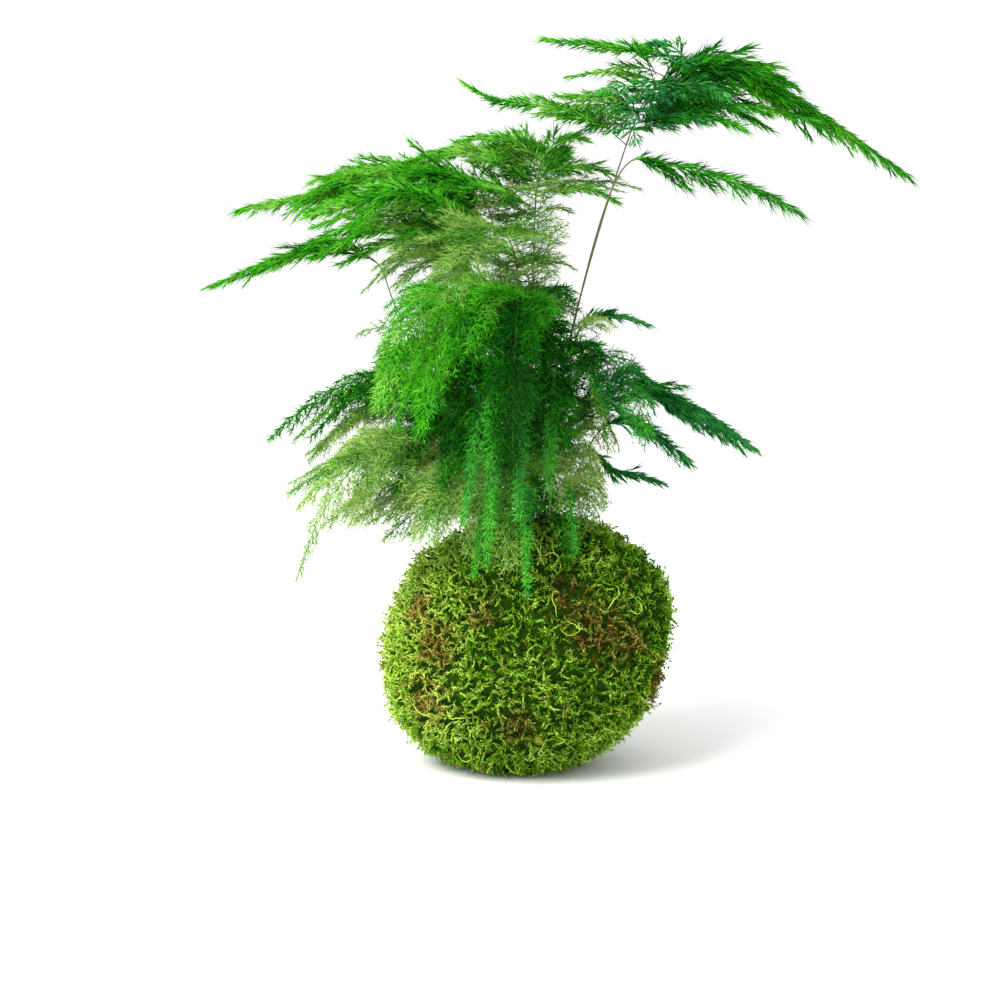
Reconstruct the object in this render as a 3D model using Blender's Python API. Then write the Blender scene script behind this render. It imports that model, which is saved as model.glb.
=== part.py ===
"""Kokedama: an asparagus fern that grows from a ball of soil wrapped in moss.

Metres, +Z up. The origin is the middle of the flat spot that the ball rests on, and -Y is the front.
Each frond is one node: a wiry stem, its flat spray of side branches, and the needles raised from them.
"""

import math
import random
from typing import NamedTuple

import bmesh
import bpy
import numpy as np
from mathutils import Vector

MM = 0.001
GAP = 0.3 * MM
UP = Vector((0, 0, 1))

# Moss cover: half its width, half its depth and half its height, to the foot of the tufts
BALL_CENTRE = Vector((0, 0, 50.5 * MM))
MOSS_SEMI = Vector((56 * MM, 56 * MM, 53 * MM))
MOSS_THICKNESS = 8 * MM
SKEW_HEIGHT = 2.6 * MM
LUMP_HEIGHT = 1.0 * MM
TUFT_SHARE = 0.56
TUFT_HEIGHTS = (2.4 * MM, 4.8 * MM)
TUFT_BESIDE_THREAD = 2.6 * MM
TUFT_LEANS = ((-1.6 * MM, 1.6 * MM), (-1.6 * MM, 1.6 * MM), (-2.2 * MM, 0.6 * MM))
OPENING_RADIUS = 15 * MM
OPENING_SIDES = 14

# Binding thread: great circles of the ball that lie in the valleys between the tufts
THREAD_RADIUS = 0.4 * MM
THREAD_LIFT = 1.6 * MM
THREAD_TILT = math.atan(0.5)
THREAD_TURNS = (0, 144, 216)
ON_CIRCLE = 0.001

# Root crown, buried under the stems, with its fleshy roots
CROWN_CENTRE = Vector((0, 0, 82 * MM))
CROWN_SEMI = Vector((13.5 * MM, 13.5 * MM, 5 * MM))
ROOT_COUNT = 5
ROOT_LENGTH = 27 * MM
ROOT_RADIUS = 2.6 * MM
ROOT_TIP_RADIUS = 0.65 * MM
ROOT_FALL = 0.75
ROOT_START = 6 * MM

# Stems: square wires that stand upright in plain holes in the soil
SOIL_TOP = BALL_CENTRE.z + MOSS_SEMI.z - MOSS_THICKNESS
STEM_HOLE_RADIUS = 1.4 * MM
STEM_HOLE_SIDES = 5
STEM_HALF = 0.6 * MM
RACHIS_HALF = 0.5 * MM
RACHIS_TIP_HALF = 0.36 * MM
STEM_STEP = 17 * MM
COLLAR = 2 * MM
INNER = 4.5 * MM
OUTER = 10 * MM

# Side branches: in pairs along a spray, the longest near its foot
PAIR_SPACING = 17.5 * MM
BRANCH_HALF = 0.42 * MM
BRANCH_TIP_HALF = 0.3 * MM
BRANCH_ANGLE = 74
BRANCH_TIP_ANGLE = 36
BRANCH_SWING = 0.35
BRANCH_DROOP = 0.2
BRANCH_VARIATION = (0.82, 1.12)
BRANCH_LIFTS = (0.0, 0.1, -0.1, 0.22, -0.22, 0.36, -0.36)
BRANCH_SHARES = (1.0, 0.85, 0.7, 0.55, 0.4)
BRANCH_ROOT = 2.5 * MM
ARM_ROOT = 8 * MM

# Needles: raised from the four walls of a short joint in a branch
JOINT_SPACING = 11 * MM
JOINT_WIDTH = 1.0 * MM
NEEDLE_LENGTH = 6.0 * MM
NEEDLE_HALF = 0.1 * MM
NEEDLE_SLANT = math.radians(52)
FULL_NEEDLE_BRANCH = 22 * MM
CLEARANCE = 0.5 * MM

random_draw = random.Random(11)


class Frond(NamedTuple):
    """A frond's plan. The points are (reach, height) in mm, in the upright plane at the azimuth in degrees.

    Azimuth 0 is +X and 90 is +Y. The stem stands on a ring of the given radius round the ball's axis. The
    spray runs from points[1] to the last point. It is half_width mm wide near its foot on its front side,
    and far_share of that on its far side. It leans down towards the front by the slope front_tilt.
    """

    name: str
    azimuth: float
    ring: float
    points: tuple
    half_width: float
    front_tilt: float = 0.22
    far_share: float = 1.0


class Arm(NamedTuple):
    """A further spray in a frond's plane. It forks off some mm past the foot of the first spray, or before it."""

    frond: str
    azimuth: float
    past: float
    points: tuple
    half_width: float

    @property
    def places(self):
        return [plane_point(self.azimuth, point) for point in self.points]


FRONDS = (
    Frond("frond_top_right", 6, INNER, ((18, 181), (42, 262), (60, 285), (84, 290), (164, 242)), 50, 0.45, 0.36),
    Frond("frond_mid_right", -14, INNER, ((17, 181), (38, 246), (62, 251), (92, 242), (118, 227)), 16, 0.3),
    Frond("frond_top_left", 170, INNER, ((14, 136), (52, 184), (65, 210), (92, 216), (139, 197)), 34, 0.22, 0.7),
    Frond("frond_upper_left", 152, INNER, ((10, 180), (22, 238), (58, 252), (96, 246), (141, 231)), 42, 0.4, 0.4),
    Frond("frond_upper_back", 78, INNER, ((9, 190), (18, 240), (45, 254), (84, 244)), 36),
    Frond("frond_upper_front", -108, INNER, ((8, 160), (15, 208), (42, 226), (78, 215), (96, 200)), 36),
    Frond("frond_upper_front_left", -152, INNER, ((12, 165), (26, 214), (54, 238), (100, 230)), 26),
    Frond("frond_front_left", -132, OUTER, ((14, 140), (28, 186), (50, 200), (74, 184), (88, 156)), 33),
    Frond("frond_front", -95, OUTER, ((14, 140), (26, 184), (48, 197), (70, 172), (80, 132)), 30),
    Frond("frond_front_right", -48, OUTER, ((16, 138), (30, 168), (48, 174), (66, 158), (76, 132)), 26),
    Frond("frond_left", -172, OUTER, ((18, 128), (40, 154), (68, 159), (95, 147), (112, 136)), 28, 0.3, 0.6),
    Frond("frond_low_left", -150, OUTER, ((22, 118), (48, 140), (76, 134), (98, 111), (110, 86)), 26, 0.3),
    Frond("frond_low_front_left", -122, OUTER, ((20, 114), (42, 134), (66, 124), (82, 98)), 22),
    Frond("frond_low_front", -98, OUTER, ((18, 112), (36, 132), (54, 120), (64, 92)), 18),
    Frond("frond_right", 12, OUTER, ((14, 134), (36, 160), (54, 160), (76, 148), (100, 131)), 24, 0.3, 0.5),
    Frond("frond_low_right", -20, OUTER, ((18, 116), (34, 140), (50, 143), (71, 127)), 16),
    Frond("frond_back_right", 36, OUTER, ((14, 146), (30, 171), (48, 177), (68, 174)), 16),
    Frond("frond_back", 92, OUTER, ((16, 142), (30, 186), (60, 194), (96, 168)), 32),
    Frond("frond_back_left", 132, OUTER, ((18, 134), (38, 168), (70, 172), (102, 142)), 30),
    Frond("frond_low_back", 104, OUTER, ((20, 112), (42, 130), (64, 118), (80, 94)), 22),
)

ARMS = (
    Arm("frond_top_right", 6, -5, ((28, 268), (8, 274), (-29, 286)), 14),
    Arm("frond_top_right", 6, 22, ((44, 296), (26, 301), (4, 303)), 10),
)


# Scene, materials and solids


def clear_scene():
    for obj in list(bpy.data.objects):
        bpy.data.objects.remove(obj)


def make_collection(name, hidden=False):
    collection = bpy.data.collections.new(name)
    collection.hide_render = hidden
    bpy.context.scene.collection.children.link(collection)
    return collection


def make_material(name, colour, roughness):
    material = bpy.data.materials.new(name)
    material.use_nodes = True
    shader = material.node_tree.nodes["Principled BSDF"]
    shader.inputs["Base Color"].default_value = (*colour, 1)
    shader.inputs["Roughness"].default_value = roughness
    shader.inputs["Metallic"].default_value = 0
    material.diffuse_color = (*colour, 1)
    return material


def add_object(name, bm, collection, material=None):
    """Makes an object of a bmesh, and frees the bmesh."""
    bmesh.ops.recalc_face_normals(bm, faces=bm.faces)
    mesh = bpy.data.meshes.new(name)
    bm.to_mesh(mesh)
    bm.free()
    obj = bpy.data.objects.new(name, mesh)
    collection.objects.link(obj)
    if material:
        mesh.materials.append(material)
    return obj


def hide_as_cutter(obj):
    obj.hide_render = True
    obj.display_type = "WIRE"


def add_boolean(obj, other, operation="DIFFERENCE"):
    modifier = obj.modifiers.new(f"{operation.title()} {other.name}", "BOOLEAN")
    modifier.operation = operation
    modifier.object = other


def cut(obj, name, bm):
    """Cuts a shape out of an object. The cutter stays, out of the render."""
    cutter = add_object(name, bm, cutters)
    hide_as_cutter(cutter)
    add_boolean(obj, cutter)


def fuse(bodies, name):
    """Joins closed bodies into the first of them, and removes the others."""
    first, *others = bodies
    for other in others:
        add_boolean(first, other, "UNION")
    bpy.context.view_layer.update()
    graph = bpy.context.evaluated_depsgraph_get()
    mesh = bpy.data.meshes.new_from_object(first.evaluated_get(graph))
    first.modifiers.clear()
    first.data = mesh
    first.name = name
    for other in others:
        bpy.data.objects.remove(other)
    return first


def ellipsoid(semi, centre, subdivisions):
    bm = bmesh.new()
    bmesh.ops.create_icosphere(bm, subdivisions=subdivisions, radius=1)
    for vert in bm.verts:
        vert.co = centre + semi * vert.co.normalized()
    return bm


def cylinder(centre, radius, low, high, sides):
    """An upright closed cylinder between two heights."""
    bm = bmesh.new()
    bmesh.ops.create_cone(bm, cap_ends=True, segments=sides, radius1=radius, radius2=radius, depth=high - low)
    bmesh.ops.translate(bm, verts=bm.verts, vec=(*centre, (low + high) / 2))
    return bm


# Moss cover, thread, root crown and soil


def lump(direction):
    """How far the moss stands out of its ellipsoid in a direction.

    The ball is fuller at its upper right and lower left, and slow waves run over it.
    """
    x, y, z = direction
    waves = math.sin(3.1 * x + 1.3) * math.cos(2.7 * y + 4.0 * z)
    return SKEW_HEIGHT * 2 * x * z + LUMP_HEIGHT * waves


def moss_foot(direction, lift=0.0):
    """The point of the moss between its tufts in a direction, lifted outwards by lift."""
    return BALL_CENTRE + MOSS_SEMI * direction + direction * (lump(direction) + lift)


def ball_directions():
    """The directions of the moss ball's vertices from its centre."""
    bm = bmesh.new()
    bmesh.ops.create_icosphere(bm, subdivisions=4, radius=1)
    directions = [vert.co.normalized() for vert in bm.verts]
    bm.free()
    return directions


def thread_normals():
    """The axes of the thread's circles. Each circle runs along edges of an icosphere."""
    level = math.cos(THREAD_TILT)
    turns = [math.radians(turn) for turn in THREAD_TURNS]
    return [Vector((level * math.cos(turn), level * math.sin(turn), math.sin(THREAD_TILT))) for turn in turns]


def on_thread(direction):
    return any(abs(direction.dot(normal)) < ON_CIRCLE for normal in thread_normals())


def raise_tufts(bm, directions):
    """Raises a leaning pyramid from many of the ball's faces. Those beside the thread are low and upright."""
    for face in list(bm.faces):
        height = random_draw.uniform(*TUFT_HEIGHTS)
        lean = Vector([random_draw.uniform(*span) for span in TUFT_LEANS])
        if random_draw.random() > TUFT_SHARE:
            continue
        corners = [directions[vert.index] for vert in face.verts]
        outward = sum(corners, Vector()).normalized()
        if any(on_thread(corner) for corner in corners):
            height = TUFT_BESIDE_THREAD
            lean = Vector()
        peak = bmesh.ops.poke(bm, faces=[face])["verts"][0]
        peak.co += outward * height + lean - outward * lean.dot(outward)


def build_moss_cover():
    """The moss skin: a tufted ball, bored for the soil, open round the stems and flat where it rests."""
    bm = bmesh.new()
    bmesh.ops.create_icosphere(bm, subdivisions=4, radius=1)
    directions = ball_directions()
    for vert, direction in zip(bm.verts, directions):
        vert.co = moss_foot(direction)
    bm.verts.index_update()
    raise_tufts(bm, directions)
    cover = add_object("moss_cover", bm, kokedama, make_material("moss", (0.13, 0.24, 0.03), 0.95))
    inner = MOSS_SEMI - Vector((MOSS_THICKNESS,) * 3)
    cut(cover, "soil_space", ellipsoid(inner, BALL_CENTRE, 3))
    above = SOIL_TOP + 4 * MOSS_THICKNESS
    cut(cover, "stem_opening", cylinder((0, 0), OPENING_RADIUS, CROWN_CENTRE.z, above, OPENING_SIDES))
    cut(cover, "floor", cylinder((0, 0), 2 * MOSS_SEMI.x, -MOSS_SEMI.z, 0, 4))


def thread_turn(number, normal, directions):
    """One turn of thread: a wire through every second vertex of the ball that lies on its circle."""
    first = normal.orthogonal().normalized()
    second = normal.cross(first)
    circle = [direction for direction in directions if abs(direction.dot(normal)) < ON_CIRCLE]
    circle.sort(key=lambda direction: math.atan2(direction.dot(second), direction.dot(first)))
    curve = bpy.data.curves.new(f"thread_turn_{number}", "CURVE")
    curve.dimensions = "3D"
    curve.bevel_depth = THREAD_RADIUS
    curve.bevel_resolution = 0
    spline = curve.splines.new("POLY")
    spline.points.add(len(circle) // 2 - 1)
    for point, direction in zip(spline.points, circle[::2]):
        point.co = (*moss_foot(direction, THREAD_LIFT), 1)
    spline.use_cyclic_u = True
    wire = bpy.data.objects.new(f"thread_wire_{number}", curve)
    kokedama.objects.link(wire)
    bpy.context.view_layer.update()
    graph = bpy.context.evaluated_depsgraph_get()
    mesh = bpy.data.meshes.new_from_object(wire.evaluated_get(graph))
    bpy.data.objects.remove(wire)
    turn = bpy.data.objects.new(f"thread_turn_{number}", mesh)
    kokedama.objects.link(turn)
    return turn


def build_binding_thread():
    """Turns of thread over the moss, fused where they cross."""
    directions = ball_directions()
    turns = [thread_turn(i, normal, directions) for i, normal in enumerate(thread_normals())]
    thread = fuse(turns, "binding_thread")
    thread.data.materials.append(make_material("thread", (0.12, 0.13, 0.06), 0.8))


def root(turn, grow):
    """A fleshy root that runs down and out of the crown, grown outwards by grow."""
    away = Vector((math.cos(turn), math.sin(turn), 0))
    length = ROOT_LENGTH + grow
    bm = bmesh.new()
    bmesh.ops.create_cone(
        bm,
        cap_ends=True,
        segments=6,
        radius1=ROOT_RADIUS + grow,
        radius2=ROOT_TIP_RADIUS + grow,
        depth=length,
    )
    bmesh.ops.translate(bm, verts=bm.verts, vec=(0, 0, length / 2))
    turned = UP.rotation_difference(away - ROOT_FALL * UP).to_matrix()
    bmesh.ops.rotate(bm, verts=bm.verts, cent=(0, 0, 0), matrix=turned)
    bmesh.ops.translate(bm, verts=bm.verts, vec=CROWN_CENTRE + away * ROOT_START)
    return bm


def crown_body(name, grow, collection):
    """The crown fused with its roots, grown outwards by grow."""
    shapes = [ellipsoid(CROWN_SEMI + Vector((grow,) * 3), CROWN_CENTRE, 2)]
    for number in range(ROOT_COUNT):
        shapes.append(root(math.tau * (number + 0.3) / ROOT_COUNT, grow))
    return fuse([add_object(f"{name}_{i}", bm, collection) for i, bm in enumerate(shapes)], name)


def build_root_crown():
    crown = crown_body("root_crown", 0, kokedama)
    crown.data.materials.append(make_material("root", (0.55, 0.42, 0.25), 0.8))


def build_soil_core():
    """The ball of soil, with the room that the root crown fills and a plain hole for each stem."""
    semi = MOSS_SEMI - Vector((MOSS_THICKNESS + GAP,) * 3)
    soil = add_object("soil_core", ellipsoid(semi, BALL_CENTRE, 3), kokedama)
    soil.data.materials.append(make_material("soil", (0.06, 0.035, 0.02), 1.0))
    room = crown_body("crown_room", GAP, cutters)
    hide_as_cutter(room)
    add_boolean(soil, room)
    for frond in FRONDS:
        above = SOIL_TOP + MOSS_THICKNESS
        hole = cylinder(stem_foot(frond), STEM_HOLE_RADIUS, CROWN_CENTRE.z, above, STEM_HOLE_SIDES)
        cut(soil, f"hole_of_{frond.name}", hole)


# Room between the fronds


class Space:
    """The straight pieces placed so far: their ends, half thickness and the twig that each belongs to."""

    def __init__(self):
        self.starts = np.zeros((0, 3))
        self.ends = np.zeros((0, 3))
        self.halves = np.zeros(0)
        self.twigs = np.zeros(0, int)
        self.twig_count = 0

    def new_twig(self):
        self.twig_count += 1
        return self.twig_count

    def add(self, points, half, twig):
        points = np.array(points, float)
        count = len(points) - 1
        self.starts = np.vstack([self.starts, points[:-1]])
        self.ends = np.vstack([self.ends, points[1:]])
        self.halves = np.append(self.halves, np.full(count, half))
        self.twigs = np.append(self.twigs, np.full(count, twig, int))

    def is_clear(self, points, half, ignored):
        """True if a run of points stays clear of every piece whose twig isn't ignored."""
        used = ~np.isin(self.twigs, list(ignored))
        starts = self.starts[used]
        spans = self.ends[used] - starts
        squares = np.maximum((spans * spans).sum(axis=1), 1e-12)
        needed = (self.halves[used] + half) * math.sqrt(2) + CLEARANCE
        for a, b in zip(points, points[1:]):
            for share in np.linspace(0, 1, max(2, math.ceil((b - a).length / MM) + 1)):
                point = np.array(a.lerp(b, share))
                along = np.clip(((point - starts) * spans).sum(axis=1) / squares, 0, 1)
                gaps = np.linalg.norm(starts + along[:, None] * spans - point, axis=1)
                if (gaps < needed).any():
                    return False
        return True


space = Space()


# Paths


class Path:
    """A smooth curve through points, measured along its length."""

    def __init__(self, points, steps=12):
        ends = [2 * points[0] - points[1], *points, 2 * points[-1] - points[-2]]
        self.samples = [points[0]]
        for a, b, c, d in zip(ends, ends[1:], ends[2:], ends[3:]):
            for step in range(1, steps + 1):
                t = step / steps
                rise = (c - a) * t + (2 * a - 5 * b + 4 * c - d) * t**2 + (3 * b - a - 3 * c + d) * t**3
                self.samples.append(b + rise / 2)
        self.lengths = [0.0]
        for a, b in zip(self.samples, self.samples[1:]):
            self.lengths.append(self.lengths[-1] + (b - a).length)
        self.length = self.lengths[-1]

    def at(self, distance):
        i = int(np.clip(np.searchsorted(self.lengths, distance) - 1, 0, len(self.samples) - 2))
        share = (distance - self.lengths[i]) / (self.lengths[i + 1] - self.lengths[i])
        return self.samples[i].lerp(self.samples[i + 1], share)

    def direction(self, distance):
        ahead = self.at(min(distance + MM, self.length))
        return (ahead - self.at(max(distance - MM, 0))).normalized()

    def length_at(self, point):
        """The length along the path of its sample nearest to a point."""
        return min(zip(self.lengths, self.samples), key=lambda entry: (entry[1] - point).length)[0]


def plane_point(azimuth, point):
    turn = math.radians(azimuth)
    reach, height = point
    return Vector((reach * math.cos(turn), reach * math.sin(turn), height)) * MM


def stem_foot(frond):
    """Where a stem stands: the stems of a ring are spread evenly round it, in order of azimuth."""
    ring = sorted(other.azimuth % 360 for other in FRONDS if other.ring == frond.ring)
    spacing = 360 / len(ring)
    offset = sum(azimuth - spacing * i for i, azimuth in enumerate(ring)) / len(ring)
    turn = math.radians(offset + spacing * ring.index(frond.azimuth % 360))
    return frond.ring * math.cos(turn), frond.ring * math.sin(turn)


def frond_path(frond):
    """The path of a stem and its rachis, from just above the root crown, upright to above the soil."""
    foot = stem_foot(frond)
    crown_top = CROWN_CENTRE.z + CROWN_SEMI.z * math.sqrt(1 - (frond.ring / CROWN_SEMI.x) ** 2)
    heights = (crown_top + GAP, SOIL_TOP + COLLAR, SOIL_TOP + 3 * COLLAR)
    upright = [Vector((*foot, height)) for height in heights]
    return Path([*upright, *(plane_point(frond.azimuth, point) for point in frond.points)])


# Growing a frond: faces are extruded along a path, ring by ring, and walls are raised into needles


class Ring(NamedTuple):
    centre: Vector
    side: Vector
    normal: Vector
    half: float


def ring_on(path, distance, side_hint, half):
    """A square ring across a path, with its side axis as near the hint as it can be."""
    tangent = path.direction(distance)
    side = (side_hint - tangent * side_hint.dot(tangent)).normalized()
    return Ring(path.at(distance), side, side.cross(tangent), half)


def move_to_ring(face, ring):
    """Moves a face's corners to the ring's, keeping their order and turning them as little as possible."""
    middle = face.calc_center_median()
    side = ring.side * ring.half
    normal = ring.normal * ring.half
    corners = [side - normal, -side - normal, -side + normal, side + normal]
    orders = [corners[turn:] + corners[:turn] for turn in range(4)]
    offsets = [vert.co - middle for vert in face.verts]
    best = max(orders, key=lambda order: sum(a.dot(b) for a, b in zip(order, offsets)))
    for vert, corner in zip(face.verts, best):
        vert.co = ring.centre + corner


def extrude_ring(bm, face, ring):
    """Extrudes a face to a ring. Returns the new end face and its walls: +side, -side, +normal, -normal."""
    end = bmesh.ops.extrude_discrete_faces(bm, faces=[face])["faces"][0]
    walls = [other for edge in end.edges for other in edge.link_faces if other is not end]
    move_to_ring(end, ring)
    across = sorted(walls, key=lambda wall: wall.calc_center_median().dot(ring.side))
    above = sorted(across[1:3], key=lambda wall: wall.calc_center_median().dot(ring.normal))
    return end, (across[3], across[0], above[1], above[0])


def extrude_joint(bm, face, path, middle, side_hint, half):
    """Extrudes a face to a short joint on a path. Returns its end, its walls and its last ring."""
    for distance in (middle - JOINT_WIDTH / 2, middle + JOINT_WIDTH / 2):
        ring = ring_on(path, distance, side_hint, half)
        face, walls = extrude_ring(bm, face, ring)
    return face, walls, ring


def end_in_point(bm, face, point):
    bmesh.ops.poke(bm, faces=[face])["verts"][0].co = point


def mix(a, b, share):
    return a + (b - a) * share


def raise_needle(bm, wall, along, away, length, own_twigs):
    """Raises a needle from a wall, where there is room for it."""
    foot = wall.calc_center_median()
    tip = foot + (along * math.cos(NEEDLE_SLANT) + away * math.sin(NEEDLE_SLANT)) * length
    past_foot = foot.lerp(tip, 0.25)
    if space.is_clear([past_foot, tip], NEEDLE_HALF, own_twigs):
        end_in_point(bm, wall, tip)
        space.add([past_foot, tip], NEEDLE_HALF, max(own_twigs))


def branch_points(start, heading, forward, length, lift):
    """A side branch swings forward along its length, rises by the slope lift and droops at its end."""
    points = []
    for share in (0.0, 0.25, 0.5, 0.75, 1.0):
        turned = (heading + forward * BRANCH_SWING * share).normalized()
        points.append(start + (turned + UP * (lift - BRANCH_DROOP * share) * share) * length * share)
    return points


def find_room(start, heading, forward, length, own_twigs):
    """The longest and least bent side branch that is clear of what stands already, or None."""
    for share in BRANCH_SHARES:
        for lift in BRANCH_LIFTS:
            points = branch_points(start, heading, forward, length * share, lift)
            root_share = BRANCH_ROOT / (points[1] - points[0]).length
            past_root = [points[0].lerp(points[1], root_share), *points[1:]]
            if space.is_clear(past_root, BRANCH_HALF, own_twigs):
                return points
    return None


def grow_branch(bm, wall, rachis_twig, forward, heading, normal, length):
    """Grows a side branch with its needles out of a wall of the rachis, where there is room for it."""
    points = find_room(wall.calc_center_median(), heading, forward, length, {rachis_twig})
    if points is None:
        return
    path = Path(points, steps=4)
    twig = space.new_twig()
    space.add(path.samples, BRANCH_HALF, twig)
    across = heading.cross(normal)
    needle = NEEDLE_LENGTH * min(1, length / FULL_NEEDLE_BRANCH)
    joint_count = max(1, round(path.length / JOINT_SPACING))
    face = wall
    for number in range(joint_count):
        share = (number + 0.75) / (joint_count + 0.35)
        half = mix(BRANCH_HALF, BRANCH_TIP_HALF, share)
        face, walls, ring = extrude_joint(bm, face, path, path.length * share, across, half)
        tangent = path.direction(path.length * share)
        aways = (ring.side, -ring.side, ring.normal, -ring.normal)
        bare = 2 + number % 2
        for i, (target, away) in enumerate(zip(walls, aways)):
            if i != bare:
                raise_needle(bm, target, tangent, away, needle, {rachis_twig, twig})
    end_in_point(bm, face, path.at(path.length))


def spray_width(share):
    """A spray's half width along it, as a share of its widest: a long triangle with a rounded foot."""
    return min(1, 0.66 + 2.4 * share) * (1 - share) ** 0.75 + 0.1


def grow_spray(bm, face, path, start, twig, side_hint, half, half_widths, forks=()):
    """Grows a rachis from start to its tip, then its pairs of side branches and the needles over them.

    The half widths are those of its +side and of its -side. Each fork is the distance of an arm past the
    start, and the arm's points.
    """
    leafy = path.length - start
    pairs = round(leafy / PAIR_SPACING)
    joints = []
    for number in range(pairs):
        share = (number + 0.45) / (pairs + 0.6)
        joint_half = mix(half, RACHIS_TIP_HALF, share)
        face, walls, ring = extrude_joint(bm, face, path, start + leafy * share, side_hint, joint_half)
        joints.append((walls, ring, share))
    end_in_point(bm, face, path.at(path.length))
    forked = {}
    for arm in forks:
        number = min(range(pairs), key=lambda i: abs(joints[i][2] * leafy - arm.past * MM))
        forked[number] = arm
    for number, (walls, ring, share) in enumerate(joints):
        tangent = path.direction(start + leafy * share)
        angle = math.radians(mix(BRANCH_ANGLE, BRANCH_TIP_ANGLE, share))
        for wall, outward, half_width in zip(walls, (ring.side, -ring.side), half_widths):
            reach = half_width * MM * spray_width(share) * random_draw.uniform(*BRANCH_VARIATION)
            heading = tangent * math.cos(angle) + outward * math.sin(angle)
            grow_branch(bm, wall, twig, tangent, heading, ring.normal, reach)
        if number in forked:
            grow_arm(bm, walls[2], forked[number], side_hint)
        else:
            raise_needle(bm, walls[2], tangent, ring.normal, NEEDLE_LENGTH, {twig})


def grow_arm(bm, wall, arm, side_hint):
    """Grows a further spray out of a wall of a stem or of a rachis."""
    path = Path([wall.calc_center_median(), *arm.places])
    twig = space.new_twig()
    space.add(path.samples, BRANCH_HALF, twig)
    grow_spray(bm, wall, path, ARM_ROOT, twig, side_hint, BRANCH_HALF, (arm.half_width, arm.half_width))


def start_stem(bm, path, side_hint):
    """A stem's foot as two faces back to back. Returns the one to extrude."""
    bmesh.ops.create_grid(bm, x_segments=1, y_segments=1, size=STEM_HALF)
    face = bm.faces[:][0]
    move_to_ring(face, ring_on(path, 0, side_hint, STEM_HALF))
    bmesh.ops.duplicate(bm, geom=[face])
    return face


def build_frond(frond):
    path = paths[frond.name]
    twig = stem_twigs[frond.name]
    turn = math.radians(frond.azimuth)
    side_hint = Vector((math.sin(turn), -math.cos(turn), -math.cos(turn) * frond.front_tilt))
    leafy = path.length_at(plane_point(frond.azimuth, frond.points[1]))
    collar = SOIL_TOP + COLLAR - path.at(0).z
    steps = round((leafy - collar) / STEM_STEP)
    knots = [mix(collar, leafy, step / steps) for step in range(steps)]
    arms = [arm for arm in ARMS if arm.frond == frond.name]
    low_arms = {leafy + arm.past * MM: arm for arm in arms if arm.past < 0}
    for distance in low_arms:
        knots = [knot for knot in knots if abs(knot - distance) > 4 * JOINT_WIDTH]
    bm = bmesh.new()
    face = start_stem(bm, path, side_hint)
    grown = []
    for knot in sorted([*knots, *low_arms]):
        half = mix(STEM_HALF, RACHIS_HALF, knot / leafy)
        if knot in low_arms:
            face, walls, _ = extrude_joint(bm, face, path, knot, side_hint, half)
            grown.append((low_arms[knot], walls))
        else:
            face, _ = extrude_ring(bm, face, ring_on(path, knot, side_hint, half))
    widths = (frond.half_width, frond.half_width * frond.far_share)
    if math.cos(turn) < 0:
        widths = widths[::-1]
    high_arms = [arm for arm in arms if arm.past >= 0]
    grow_spray(bm, face, path, leafy, twig, side_hint, RACHIS_HALF, widths, high_arms)
    for arm, walls in grown:
        run = arm.places[-1] - arm.places[0]
        grow_arm(bm, max(walls[2:], key=lambda wall: run.dot(wall.calc_center_median())), arm, side_hint)
    bmesh.ops.remove_doubles(bm, verts=bm.verts, dist=1e-7)
    add_object(frond.name, bm, kokedama, frond_material)


clear_scene()
kokedama = make_collection("kokedama")
cutters = make_collection("cutters", hidden=True)
frond_material = make_material("frond", (0.03, 0.22, 0.02), 0.6)
build_moss_cover()
build_binding_thread()
build_root_crown()
build_soil_core()

# Every stem takes its place before any side branch grows
paths = {frond.name: frond_path(frond) for frond in FRONDS}
stem_twigs = {frond.name: space.new_twig() for frond in FRONDS}
for frond in FRONDS:
    space.add(paths[frond.name].samples, STEM_HALF, stem_twigs[frond.name])
for frond in FRONDS:
    build_frond(frond)
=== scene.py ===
"""The looks of the kokedama: living moss shoots, fine thread, and every frond with its twigs and needles.

Metres, +Z up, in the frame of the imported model. -Y is the front. The ball's shape, the thread's turns and
the stems' feet come from the same values and formulas as in the CAD model's own source. The fronds follow
their solids within about 9 mm, and their further sprays fill the foliage between them.
"""

import math
from typing import NamedTuple

import bmesh
import bpy
import numpy as np
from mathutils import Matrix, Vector


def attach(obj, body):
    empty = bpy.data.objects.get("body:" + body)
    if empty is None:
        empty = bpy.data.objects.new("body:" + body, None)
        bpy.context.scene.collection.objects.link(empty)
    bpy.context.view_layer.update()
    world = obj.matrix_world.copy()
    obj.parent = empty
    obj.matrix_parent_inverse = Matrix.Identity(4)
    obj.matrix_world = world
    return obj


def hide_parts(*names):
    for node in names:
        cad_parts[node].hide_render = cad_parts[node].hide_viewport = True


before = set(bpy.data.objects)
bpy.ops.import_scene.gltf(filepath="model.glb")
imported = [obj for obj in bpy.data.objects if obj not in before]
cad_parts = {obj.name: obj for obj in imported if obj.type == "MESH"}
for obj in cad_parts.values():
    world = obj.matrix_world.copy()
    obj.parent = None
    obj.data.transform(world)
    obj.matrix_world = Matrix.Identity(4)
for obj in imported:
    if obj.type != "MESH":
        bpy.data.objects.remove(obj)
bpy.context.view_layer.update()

MM = 0.001
UP = np.array((0.0, 0.0, 1.0))
FLOOR_CLEARANCE = 0.3 * MM

# Moss ball
BALL_CENTRE = np.array((0.0, 0.0, 50.5)) * MM
MOSS_SEMI = np.array((56.0, 56.0, 53.0)) * MM
MOSS_THICKNESS = 8 * MM
SKEW_HEIGHT = 2.6 * MM
LUMP_HEIGHT = 1.0 * MM
OPENING_RADIUS = 15 * MM
SKIN_GRAIN = 0.5 * MM
SKIN_THICKNESS = 7.4 * MM
SKIN_SUBDIVISIONS = 6
SKIN_FACES_KEPT = 0.22

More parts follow.
